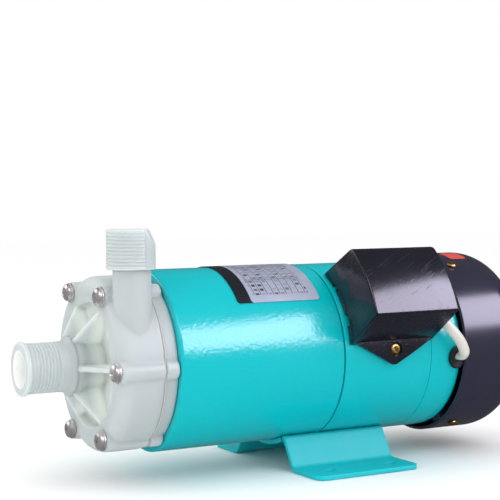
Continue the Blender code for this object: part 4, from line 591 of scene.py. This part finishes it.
class PumpSizes(bpy.types.PropertyGroup):
    """Sizes of the details that the CAD leaves plain."""

    thread_pitch: bpy.props.FloatProperty(
        name="Thread pitch", description="Pitch of both pipe threads", default=2.309 * MM, unit="LENGTH")
    thread_depth: bpy.props.FloatProperty(
        name="Thread depth", description="Crest to root of both pipe threads",
        default=0.6 * MM, unit="LENGTH")
    mould_grain: bpy.props.FloatProperty(
        name="Mould softness", description="Voxel that melts the casing's ribs, bosses and neck together",
        default=0.8 * MM, unit="LENGTH")
    cross_length: bpy.props.FloatProperty(
        name="Cross recess", description="Length across the cross recess of the casing screws",
        default=5.6 * MM, unit="LENGTH")
    hood_edge: bpy.props.FloatProperty(
        name="Hood edge", description="Radius along the terminal hood's edges",
        default=1.5 * MM, unit="LENGTH")
    foot_bend: bpy.props.FloatProperty(
        name="Foot bend", description="Radius of the bends in the sheet foot",
        default=4.0 * MM, unit="LENGTH")
    grille_slots: bpy.props.IntProperty(
        name="Grille slots", description="Slots in the fan cover's rear face", default=16, min=6, max=40)


class PumpColours(bpy.types.PropertyGroup):
    """Colours that a user would change."""

    plate_band: bpy.props.FloatVectorProperty(
        name="Plate band", description="Dark end of the nameplate", default=linear("23262f"), size=4,
        subtype="COLOR", min=0, max=1)


# Pieces

def cross_recess(length, depth, top, turn):
    """A tapered cross cutter looking along x: twelve points of a plus sign, smaller at the bottom."""
    arm, web = length / 2, length * 0.13
    plus = np.array([(web, arm), (-web, arm), (-web, web), (-arm, web), (-arm, -web), (-web, -web),
                     (-web, -arm), (web, -arm), (web, -web), (arm, -web), (arm, web), (web, web)])
    c, s = np.cos(np.radians(turn)), np.sin(np.radians(turn))
    plus = plus @ np.array([(c, s), (-s, c)])
    levels = ((top - depth, 0.45), (top + 1.0, 1.15))
    return lofted([np.column_stack([np.full(12, x), plus * size]) for x, size in levels])


def screw_profile(shank_r, length, head_r, head):
    """A pan head over the seat at x = 0 and its shank below, from the tip to the crown."""
    corners = [(-length, 0), (-length, shank_r), (0, shank_r), (0, head_r), (0.62 * head, 0.97 * head_r),
               (head, 0.62 * head_r), (head, 0)]
    return rounded(corners, [0, 0.5, 0, 0.3, 0.45 * head_r, 0.4 * head_r, 0])


class PumpPiece:
    """What every piece's operator shares."""

    bl_options = {"REGISTER", "UNDO"}

    @property
    def sizes(self):
        return bpy.context.scene.pump_sizes


class PUMP_OT_finishes(PumpPiece, bpy.types.Operator):
    """Makes the pump's materials"""

    bl_idname = "pump.finishes"
    bl_label = "Finishes"

    def execute(self, context):
        FINISHES.update(make_finishes(context.scene.pump_colours))
        return {"FINISHED"}


class PUMP_OT_front_casing(PumpPiece, bpy.types.Operator):
    """Moulds the front casing: dish, ribs, screw bosses, hub and outlet neck in one soft-cornered skin"""

    bl_idname = "pump.front_casing"
    bl_label = "Front casing"

    def execute(self, context):
        dish = rounded([(7, 0), (7, 41), (0.6, 42.4), (0.6, DISH_R), (PARTING, DISH_R), (PARTING, 0)],
                       [0, 2.0, 1.8, 9.0, 0.4, 0])
        hub = rounded([(-15.5, 0), (-15.5, 21), (-10.5, 20), (-5.5, 17.4), (9, 17), (9, 0)],
                      [0, 3.0, 3.0, 4.0, 0, 0])
        rib = np.array([(14.5, -13.8), (20.6, -13.8), (45.5, 2.1), (45.5, 9), (14.5, 9)])
        rib = lofted([np.column_stack([rib, np.full(5, side)]) for side in (-1.6, 1.6)])
        boss = rounded([(0, 0), (0, BOSS_R), (PARTING, BOSS_R), (PARTING, 0)], [0, 0.9, 0.3, 0])
        shapes = [turned(dish, 192, False), turned(hub, 128, False)]
        for angle in BOSS_ANGLES:
            shapes.append(spot(rib, 0, angle))
            shapes.append(beside(turned(boss, 64, False), BOSS_PITCH_R, angle))
        neck = rod(14, 66, 12.5, 96)
        shapes.append(upright(neck, *OUTLET))
        piece = solid("front_casing_moulding", shapes)
        melt(piece, self.sizes.mould_grain, 10)
        chamber = [(-60, 0), (-60, INLET_BORE_R), (8.5, 13.5), (8.5, 21.5),
                   (11, 21.5), (11, 44), (50, 44), (50, 0)]
        combine(piece, [turned(chamber, 128, False)])
        combine(piece, [upright(rod(20, 80, OUTLET_BORE_R, 64), *OUTLET)])
        for angle in BOSS_ANGLES:
            combine(piece, [beside(rod(-8, 40, SCREW_HOLE_R), BOSS_PITCH_R, angle)])
        finish_piece(piece, "casing_plastic", ["front_casing"])
        return {"FINISHED"}


def plain_strip(z, t, radius):
    """Trims the outlet's collar: the strip lies 1 mm in, and a steep plane takes off its top corner."""
    facing, half_width, strip_r, corner_z = 28.7, 52, 15.6, 80.8
    azimuth = np.degrees(np.pi - t) + facing
    azimuth = np.mod(azimuth + 180, 360) - 180
    inside = np.abs(azimuth) < half_width
    slope = strip_r - np.clip(z - corner_z, 0, None) * 0.5
    limit = np.minimum(strip_r, slope / np.clip(np.cos(np.radians(azimuth)), 0.2, 1))
    return np.where(inside, np.minimum(radius, limit), radius)


class PUMP_OT_branches(PumpPiece, bpy.types.Operator):
    """Turns the threaded inlet, the threaded outlet collar with its plain strip, and the spindle's socket"""

    bl_idname = "pump.branches"
    bl_label = "Threaded branches"

    def execute(self, context):
        pitch = self.sizes.thread_pitch / MM
        depth = self.sizes.thread_depth / MM
        tube = rounded([(INLET_TIP, 15), (INLET_TIP, 18.1), (-44.4, 18.1), (-43.6, INLET_R), (-21, INLET_R),
                        (-17, 17.2), (-13.8, 20.2), (-13, 20.2)], [0, 0.8, 0.6, 0.8, 0, 5.0, 0.5, 0])
        tube = tube[tube[:, 1] > 15.5]
        inlet = threaded((-41.6, -21.6), tube, depth, pitch, INLET_BORE_R)

        rim = rounded([(65.2, 12), (65.2, OUTLET_R), (91.4, OUTLET_R), (91.4, 12)], [0, 0.8, 0.9, 0])
        rim = rim[rim[:, 1] > 12.2]
        # The collar's thread is a quarter shallower than the inlet's
        collar = threaded((65.6, 91.6), rim, 0.75 * depth, pitch, OUTLET_BORE_R, plain_strip)
        socket = rounded([(-3.2, 0), (-3.2, 4.2), (-0.1, 7.5), (8.2, 7.5), (8.2, 4.8), (2.2, 4.8), (2.2, 0)],
                         [0, 2.5, 1.0, 0.3, 0.2, 0.2, 0])
        arms = [spot(block((4.9, 0, -1.2), (13.6, 7.9, 1.2)), 0, angle) for angle in (30.0, 150.0, 270.0)]
        shapes = [inlet, upright(collar, *OUTLET), turned(socket, 48, False), *arms]
        piece = solid("threaded_branches", shapes)
        finish_piece(piece, "casing_plastic", ["front_casing"], angle=50.0)
        return {"FINISHED"}


class PUMP_OT_rear_casing(PumpPiece, bpy.types.Operator):
    """Moulds the rear casing: flange, rear halves of the screw columns and can, and the seam's gasket"""

    bl_idname = "pump.rear_casing"
    bl_label = "Rear casing"

    def execute(self, context):
        front, rear = FLANGE
        profile = rounded([
            (92.3, 0), (92.3, 4.8), (87.5, 4.8), (87.5, 7.5), (92, 7.5), (92, 31.5), (28.3, 31.5),
            (28.3, 43.4), (front, 43.4), (front, 57.5), (rear, 57.5), (rear, 47.8), (rear + 2, 47.8),
            (rear + 2, 33.5), (95, 33.5), (95, 0)],
            [0, 0, 0, 0, 0.3, 2, 0.3, 0.5, 0, 0.8, 1.2, 0, 0, 1, 4, 0])
        column = rounded([(front, 0), (front, BOSS_R), (rear - 0.2, BOSS_R), (rear - 0.2, 0)],
                         [0, 0.4, 2.2, 0])
        shapes = [turned(profile, 192, False)]
        shapes += [beside(turned(column, 64, False), BOSS_PITCH_R, angle) for angle in BOSS_ANGLES]
        piece = solid("rear_casing_moulding", shapes)
        melt(piece, self.sizes.mould_grain, 3)
        for angle in BOSS_ANGLES:
            combine(piece, [beside(rod(20, 60, SCREW_HOLE_R), BOSS_PITCH_R, angle)])
        finish_piece(piece, "casing_plastic", ["rear_casing"])
        seal = [(PARTING + 0.02, 50), (PARTING + 0.02, 59.1), (front - 0.02, 59.1), (front - 0.02, 50)]
        piece = solid("seam_gasket", [turned(seal, 192)])
        finish_piece(piece, "gasket", [])
        return {"FINISHED"}


class PUMP_OT_casing_screws(PumpPiece, bpy.types.Operator):
    """Turns the six pan-head screws with captive washers and cuts their cross recesses"""

    bl_idname = "pump.casing_screws"
    bl_label = "Casing screws"

    def execute(self, context):
        length = self.sizes.cross_length / MM
        profile = rounded([(51, 0), (51, 3), (-0.3, 3), (-0.3, 6.7), (-1.5, 6.7), (-1.5, 6.0), (-3.5, 5.8),
                           (-4.9, 3.8), (-4.9, 0)], [0, 0.5, 0, 0.3, 0.35, 0.2, 2.2, 2.4, 0])
        screw = turned(profile, 64, False)
        for number, angle in enumerate(BOSS_ANGLES, 1):
            piece = solid(f"casing_screw_{number}_with_washer", [beside(screw, BOSS_PITCH_R, angle)])
            # Each screw stopped at its own turn
            points, faces = cross_recess(length, 3.2, 4.9, 23.0 + 41.0 * number)
            combine(piece, [beside((points * np.array([-1, 1, 1]), faces), BOSS_PITCH_R, angle)])
            finish_piece(piece, "stainless", [f"casing_screw_{number}"])
        return {"FINISHED"}


class PUMP_OT_motor_body(PumpPiece, bpy.types.Operator):
    """Turns the bracket's barrel, the stator shell and the rear end bell with the fan cover's lugs"""

    bl_idname = "pump.motor_body"
    bl_label = "Motor body"

    def execute(self, context):
        front, end = BARREL
        barrel = rounded([
            (front, 48.1), (front, MOTOR_R), (end, MOTOR_R), (end, 58.5), (124.3, 58.5), (124.3, 22),
            (131.1, 22), (131.1, 17.8), (119.3, 17.8), (119.3, 10.4), (117.3, 10.4), (117.3, 22),
            (120.3, 22), (120.3, 58.5), (53.5, 58.5), (53.5, 48.1)], [0.5, 1.6, 0.5] + [0] * 13)
        piece = solid("bracket_barrel", [turned(barrel, 256)])
        finish_piece(piece, "teal_paint", ["drive_bracket"])
        front, end = SHELL
        groove, floor = 0.9, MOTOR_R - 2.4
        shell = rounded([(front, 58.9), (front, floor), (front + groove, floor), (front + groove, MOTOR_R),
                         (end, MOTOR_R), (end, 58.9)], [0, 0, 0, 0.3, 0.4, 0])
        piece = solid("motor_shell", [turned(shell, 256)])
        combine(piece, [spot(rod(56, 66, 2.35), *HOOD_SCREW)])
        finish_piece(piece, "teal_paint", ["stator_shell"])
        front, end = BELL
        bell = rounded([(front, 58.9), (front, MOTOR_R), (end, MOTOR_R), (end, 9), (262, 9), (262, 17.8),
                        (249.3, 17.8), (249.3, 22), (264, 22), (264, 58.9)], [0, 0.4, 6, 1, 0, 0, 0, 0, 2, 6])
        piece = solid("rear_bell", [turned(bell, 256)])
        finish_piece(piece, "teal_paint", ["rear_end_bell"])
        # The lugs are teal cast metal like the bell; the black cover's finish on them is painted shade, for the
        # deep shadow in the gap under the cover
        lugs = []
        for angle in COVER_SCREW_ANGLES:
            lugs.append(spot(block((52.1, 266, -5), (60.4, 287.9, 5)), 0, angle))
            lugs.append(spot(block((58, 267, -4.7), (64.1, 287.6, 4.7)), 0, angle))
        finish_piece(solid("bell_lugs_painted_shade", lugs), "black_plastic", ["rear_end_bell"])
        return {"FINISHED"}


class PUMP_OT_fan_cover(PumpPiece, bpy.types.Operator):
    """Turns the deep fan cover, cuts its grille and sets its four plated screws"""

    bl_idname = "pump.fan_cover"
    bl_label = "Fan cover"

    def execute(self, context):
        front, end = COVER
        profile = rounded([(end - 2.3, 0), (end - 2.3, 65), (front, 65), (front, COVER_R),
                           (end, COVER_R), (end, 0)], [0, 25.7, 0.3, 1.0, 28.0, 0], 24)
        piece = solid("fan_cover_shell", [turned(profile, 256, False)])
        slot = rounded([(17, -2), (50, -2), (50, 2), (17, 2)], 1.99, 5)
        count = self.sizes.grille_slots
        for k in range(count):
            loops = [np.column_stack([slot[:, 0], np.full(len(slot), x), slot[:, 1]])
                     for x in (end - 12, end + 4)]
            combine(piece, [spot(lofted(loops), 0, 360 / count * k)])
        finish_piece(piece, "black_plastic", ["fan_cover"])
        for number, angle in enumerate(COVER_SCREW_ANGLES, 1):
            head = turned(screw_profile(2.0, 9.0, 3.6, 2.2), 48, False)
            piece = solid(f"cover_screw_{number}_head", [spot(head, COVER_SCREW_X, angle, COVER_R + 0.3)])
            cross = cross_recess(3.6, 1.5, 2.2, 30.0 * number)
            combine(piece, [spot(cross, COVER_SCREW_X, angle, COVER_R + 0.3)])
            finish_piece(piece, "brass_plated", [f"fan_cover_screw_{number}"])
        return {"FINISHED"}


class PUMP_OT_foot(PumpPiece, bpy.types.Operator):
    """Bends the sheet foot: saddle, webs and two flat feet, with round corners and holes"""

    bl_idname = "pump.foot"
    bl_label = "Sheet foot"

    def execute(self, context):
        bend = self.sizes.foot_bend / MM
        edge, web, bottom, corner_r, thick = 77.5, 42.5, -77, 6.5, 3.0
        saddle = around(WRAP_R, np.linspace(-62, -118, 25))
        corners = np.vstack([[(-edge, bottom), (-web, bottom)], saddle, [(web, bottom), (edge, bottom)]])
        radii = [0, bend, bend] + [0] * 23 + [bend, bend, 0]
        line = rounded(corners, radii, 8)
        step = np.linalg.norm(np.diff(line, axis=0), axis=1)
        reach = np.concatenate([[0], np.cumsum(step)])
        fine = np.sort(np.concatenate([reach, np.linspace(0, 7, 12), reach[-1] - np.linspace(0, 7, 12)]))
        fine = fine[np.concatenate([[True], np.diff(fine) > 0.02])]
        line = np.column_stack([np.interp(fine, reach, line[:, k]) for k in (0, 1)])
        along = np.gradient(line, fine, axis=0)
        normal = np.column_stack([-along[:, 1], along[:, 0]]) / np.linalg.norm(along, axis=1, keepdims=True)
        inset = cornered(np.minimum(fine, fine[-1] - fine), corner_r)[:, None]
        u = np.linspace(0, 1, 24)[None]
        x = BASE[0] + inset + (BASE[1] - BASE[0] - 2 * inset) * u
        sheets = []
        for depth in (thick, 0.0):
            y, z = (line - normal * depth).T
            sheets.append(np.stack([x, y[:, None] + 0 * x, z[:, None] + 0 * x], -1))
        piece = solid("sheet_foot", [plate(*sheets)])
        hole = rod(-90, -70, 4.0, 40)
        for side in (-62.5, 62.5):
            for x in (153.45, 203.45):
                combine(piece, [upright(hole, x, side)])
        soften(piece, 0.35, 2, 50)
        finish_piece(piece, "foot_paint", ["motor_base"])
        return {"FINISHED"}


class PUMP_OT_hood(PumpPiece, bpy.types.Operator):
    """Moulds the terminal hood with its pointed flap, notched foot and recessed screw"""

    bl_idname = "pump.hood"
    bl_label = "Terminal hood"

    def execute(self, context):
        front, end = HOOD
        crown = np.concatenate([[50], np.linspace(46.6, 18.3, 22)])
        outer = np.vstack([around(HOOD_R, crown), around(WRAP_R, np.linspace(7, 63, 24))])
        outer = rounded(outer, [6.0] + [0] * 46, 9)
        inner = np.vstack([around(96.9, np.linspace(48.5, 19.8, 24)),
                           around(57.6, np.linspace(9.9, 60.2, 24))])
        # The front wall's foot stands further forward than its crown
        lean = 1.8 * (HOOD_R - np.linalg.norm(outer, axis=1)) / (HOOD_R - WRAP_R)
        loops = [np.column_stack([x, outer]) for x in (front - lean, np.full(len(outer), end))]
        piece = solid("hood_moulding", [lofted(loops)])
        soften(piece, self.sizes.hood_edge / MM, 3, 50)
        combine(piece, [extruded(inner, front + 2.6, end - 2.6)])

        share = np.linspace(0, 1, 25)
        angle = 9.4 + (-6.0 - 9.4) * share
        tip = front + 33.5
        left = front + 0.3 + (tip - 2 - front) * share
        right = end - 0.3 + (tip + 2 - end) * share
        inside, outside = around(WRAP_R, angle), around(66.6, angle)
        corners = ((left, inside), (left, outside), (right, outside), (right, inside))
        loops = np.stack([np.column_stack(corner) for corner in corners], 1)
        combine(piece, [lofted(loops)], "UNION")
        recess = [(58, 0), (58, 2.4), (64.3, 2.4), (64.3, 4.9), (80, 4.9), (80, 0)]
        combine(piece, [spot(turned(recess, 40, False), *HOOD_SCREW)])
        combine(piece, [beside(rod(230, 250, 5.0), *LEAD_HOLE)])
        combine(piece, [beside(rod(230, 250, 6.1), *CABLE_INLET)])
        for low, high, depth in ((45.0, 49.5, 66.4), (19.5, 27.0, 66.8)):
            notch = np.vstack([around(depth, np.linspace(high, low, 6)),
                               around(56.0, np.linspace(low, high, 6))])
            combine(piece, [extruded(notch, front - 4, front + 3.2)])
        finish_piece(piece, "hood", ["terminal_box"])

        head = turned(screw_profile(2.0, 9.0, 4.5, 2.0), 48, False)
        seat_r = 64.5
        piece = solid("hood_screw_head", [spot(head, *HOOD_SCREW, seat_r)])
        combine(piece, [spot(cross_recess(4.6, 1.5, 2.0, 20.0), *HOOD_SCREW, seat_r)])
        finish_piece(piece, "brass_plated", ["terminal_box_screw"])
        return {"FINISHED"}


class PUMP_OT_lead(PumpPiece, bpy.types.Operator):
    """Runs the sheathed lead from the hood to its grommet in the bell, and sets both rubber grommets"""

    bl_idname = "pump.lead"
    bl_label = "Motor lead"

    def execute(self, context):
        # Knots as (x, angle, radius)
        knots = np.array([
            (231, 19, 72), (243, 18.5, 72), (250, 13, 72.6), (256.6, 6.2, 73.0), (260.4, 0.8, 72.6),
            (262.7, -2.2, 69.8), (263.4, -3.9, 66.5), (263.4, -4.4, 61), (263.4, -4.4, 56.5)])
        turn = np.radians(knots[:, 1])
        knots = np.column_stack([knots[:, 0], -knots[:, 2] * np.cos(turn), knots[:, 2] * np.sin(turn)])
        path = through(knots, 10)
        # The sheath is pinched a little where it enters the grommet
        radius = np.interp(np.arange(len(path)), (45, 60), (LEAD_R, 3.2))
        radius[[0, -1]] = 0
        piece = solid("lead_sheath", [tube_along(path, radius)])
        finish_piece(piece, "lead_jacket", ["motor_lead"], angle=60.0)

        bush = rounded([(58.5, 2.2), (58.5, 5.7), (62.9, 5.7), (62.9, 7.4), (64.9, 7.1), (64.2, 2.2)],
                       [0, 0, 0, 0.5, 0.8, 0.5])
        points, faces = turned(bush, 64)
        piece = solid("bell_grommet", [spot((points * np.array([1, 0.98, 1.15]), faces), *BELL_GROMMET)])
        finish_piece(piece, "rubber", ["lead_grommet"])
        bush = rounded([(237.1, 4.5), (237.1, 5.8), (240.3, 5.8), (240.3, 7.4), (241.9, 7.4), (241.9, 4.5)],
                       [0, 0, 0, 0.3, 0.8, 0.6])
        piece = solid("hood_cable_inlet", [beside(turned(bush, 64), *CABLE_INLET)])
        finish_piece(piece, "rubber", ["cable_inlet"])
        return {"FINISHED"}


class PUMP_OT_labels(PumpPiece, bpy.types.Operator):
    """Wraps the bare nameplate round the barrel and the plain label round the fan cover"""

    bl_idname = "pump.labels"
    bl_label = "Nameplate and label"

    def execute(self, context):
        piece = solid("nameplate_foil", [wrapped(FOIL, FOIL_TURN, WRAP_R, 0.4, 1.5)])
        column, row = np.meshgrid(np.linspace(0, 1, 64), np.linspace(0, 1, 64))
        sheet = np.column_stack([column.ravel(), row.ravel()])
        both = np.vstack([sheet, sheet])
        corner = np.empty(len(piece.data.loops), int)
        piece.data.loops.foreach_get("vertex_index", corner)
        layer = piece.data.uv_layers.new(name="UVMap")
        layer.data.foreach_set("uv", both[corner].ravel())
        finish_piece(piece, "plate", ["nameplate"])
        piece = solid("cover_label", [wrapped(LABEL, (70.0, 84.0), COVER_R + 0.05, 0.15, 3.0)])
        finish_piece(piece, "label", [])
        return {"FINISHED"}


class PUMP_OT_inner_parts(PumpPiece, bpy.types.Operator):
    """Gives every CAD node that stays in view its own finish"""

    bl_idname = "pump.inner_parts"
    bl_label = "Inner parts"

    def execute(self, context):
        for part in frame["record"]["subparts"]:
            node = frame["nodes"][part["node"]]
            node.data.materials.clear()
            node.data.materials.append(FINISHES[part["material_slot"]])
        return {"FINISHED"}


# Lamps as name, direction, distance in metres, size in metres, watts, colour and what they light
LAMPS = (
    ("strip_softbox", (0.50, -0.72, 0.47), 0.8, (0.90, 0.41), 13.0, "ece6ff", "gloss"),
    ("key_softbox", (0.35, -0.72, 0.60), 1.2, (0.80, 0.80), 2.6, "f6f3ff", "diffuse"),
    ("top_softbox", (-0.1, -0.1, 1.0), 1.4, (1.20, 1.00), 3.0, "ffffff", "diffuse"),
    ("left_fill", (-0.92, -0.38, 0.10), 1.2, (0.70, 0.70), 3.2, "fbfffb", "diffuse"),
    ("rear_softbox", (-0.62, 0.62, 0.45), 0.9, (0.60, 0.40), 1.8, "ffffff", "gloss"),
    ("edge_card", (-0.50, -0.55, 0.65), 0.9, (0.40, 0.40), 2.2, "ffffff", "gloss"),
)


class PUMP_OT_studio(PumpPiece, bpy.types.Operator):
    """Lays the floor and sets the lamps and the camera"""

    bl_idname = "pump.studio"
    bl_label = "Studio"

    def execute(self, context):
        scene = context.scene
        scene.view_settings.view_transform = "Standard"
        u, v = np.meshgrid(np.linspace(-6, 6, 41), np.linspace(-6, 6, 41))
        # Just under the foot
        points = np.stack([u, v, np.full_like(u, -0.4 * MM)], -1).reshape(-1, 3)
        mesh = bpy.data.meshes.new("studio_floor")
        mesh.from_pydata(points, [], grid_faces(41, 41, False, False))
        floor = bpy.data.objects.new("studio_floor", mesh)
        scene.collection.objects.link(floor)
        paper = make_finish("matt_paper", ("fdfdfd", "ffffff"), 400.0, (0.85, 0.95), Specular_IOR_Level=0.0)
        mesh.materials.append(paper)
        floor.visible_glossy = False

        world = bpy.data.worlds.new("studio")
        scene.world = world
        world.use_nodes = True
        world.cycles.sampling_method = "NONE"
        background = world.node_tree.nodes["Background"]
        background.inputs["Color"].default_value = linear("ffffff")
        # The white room lights everything, but black flags keep most of it out of the gloss
        path = add_node(world.node_tree, "LightPath", {}, {})
        flags = add_node(world.node_tree, "MapRange", {}, {"Value": path.outputs["Is Glossy Ray"],
                                                           "To Min": 1.0, "To Max": 0.1})
        world.node_tree.links.new(flags.outputs[0], background.inputs["Strength"])

        middle = Vector((0.0, -0.02, 0.09))
        for name, toward, away, size, power, colour, lit in LAMPS:
            data = bpy.data.lights.new(name, "AREA")
            data.shape = "RECTANGLE"
            data.size, data.size_y = size
            data.energy = power
            data.color = linear(colour)[:3]
            lamp = bpy.data.objects.new(name, data)
            toward = Vector(toward).normalized()
            lamp.location = middle + toward * away
            lamp.visible_diffuse = "diffuse" in lit
            lamp.visible_glossy = "gloss" in lit
            lamp.rotation_euler = toward.to_track_quat("Z", "Y").to_euler()
            scene.collection.objects.link(lamp)

        yaw, pitch, roll = np.radians(CAMERA_TURN)
        level = np.array([np.cos(yaw), -np.sin(yaw), 0])
        ahead = np.array([np.sin(yaw) * np.cos(pitch), np.cos(yaw) * np.cos(pitch), np.sin(pitch)])
        up = np.cross(level, ahead)
        right = np.cos(roll) * level + np.sin(roll) * up
        top = -np.sin(roll) * level + np.cos(roll) * up
        pose = np.eye(4)
        pose[:3, 0], pose[:3, 1], pose[:3, 2] = right, top, -ahead
        pose[:3, 3] = np.array(CAMERA_PLACE) * MM + ORIGIN
        data = bpy.data.cameras.new("photo_camera")
        data.sensor_width = SENSOR_WIDTH
        data.lens = LENS
        camera = bpy.data.objects.new("photo_camera", data)
        camera.matrix_world = Matrix(pose.tolist())
        scene.collection.objects.link(camera)
        scene.camera = camera
        return {"FINISHED"}


# Panel and registration

class PUMP_PT_panel(bpy.types.Panel):
    """The pump's pieces and settings in the sidebar"""

    bl_idname = "PUMP_PT_panel"
    bl_label = "Magnetic Drive Pump"
    bl_space_type = "VIEW_3D"
    bl_region_type = "UI"
    bl_category = "Pump"

    def draw(self, context):
        for step in STEPS:
            self.layout.operator(step.bl_idname)
        for group in (context.scene.pump_sizes, context.scene.pump_colours):
            for name in group.__annotations__:
                self.layout.prop(group, name)


# Every piece's operator, in the order of their definitions
STEPS = tuple(PumpPiece.__subclasses__())


def register():
    for item in (PumpSizes, PumpColours, *STEPS, PUMP_PT_panel):
        bpy.utils.register_class(item)
    bpy.types.Scene.pump_sizes = bpy.props.PointerProperty(type=PumpSizes)
    bpy.types.Scene.pump_colours = bpy.props.PointerProperty(type=PumpColours)


def unregister():
    del bpy.types.Scene.pump_colours
    del bpy.types.Scene.pump_sizes
    for item in reversed((PumpSizes, PumpColours, *STEPS, PUMP_PT_panel)):
        bpy.utils.unregister_class(item)


def main():
    register()
    for step in STEPS:
        group, name = step.bl_idname.split(".")
        getattr(getattr(bpy.ops, group), name)()


if __name__ == "__main__":
    main()
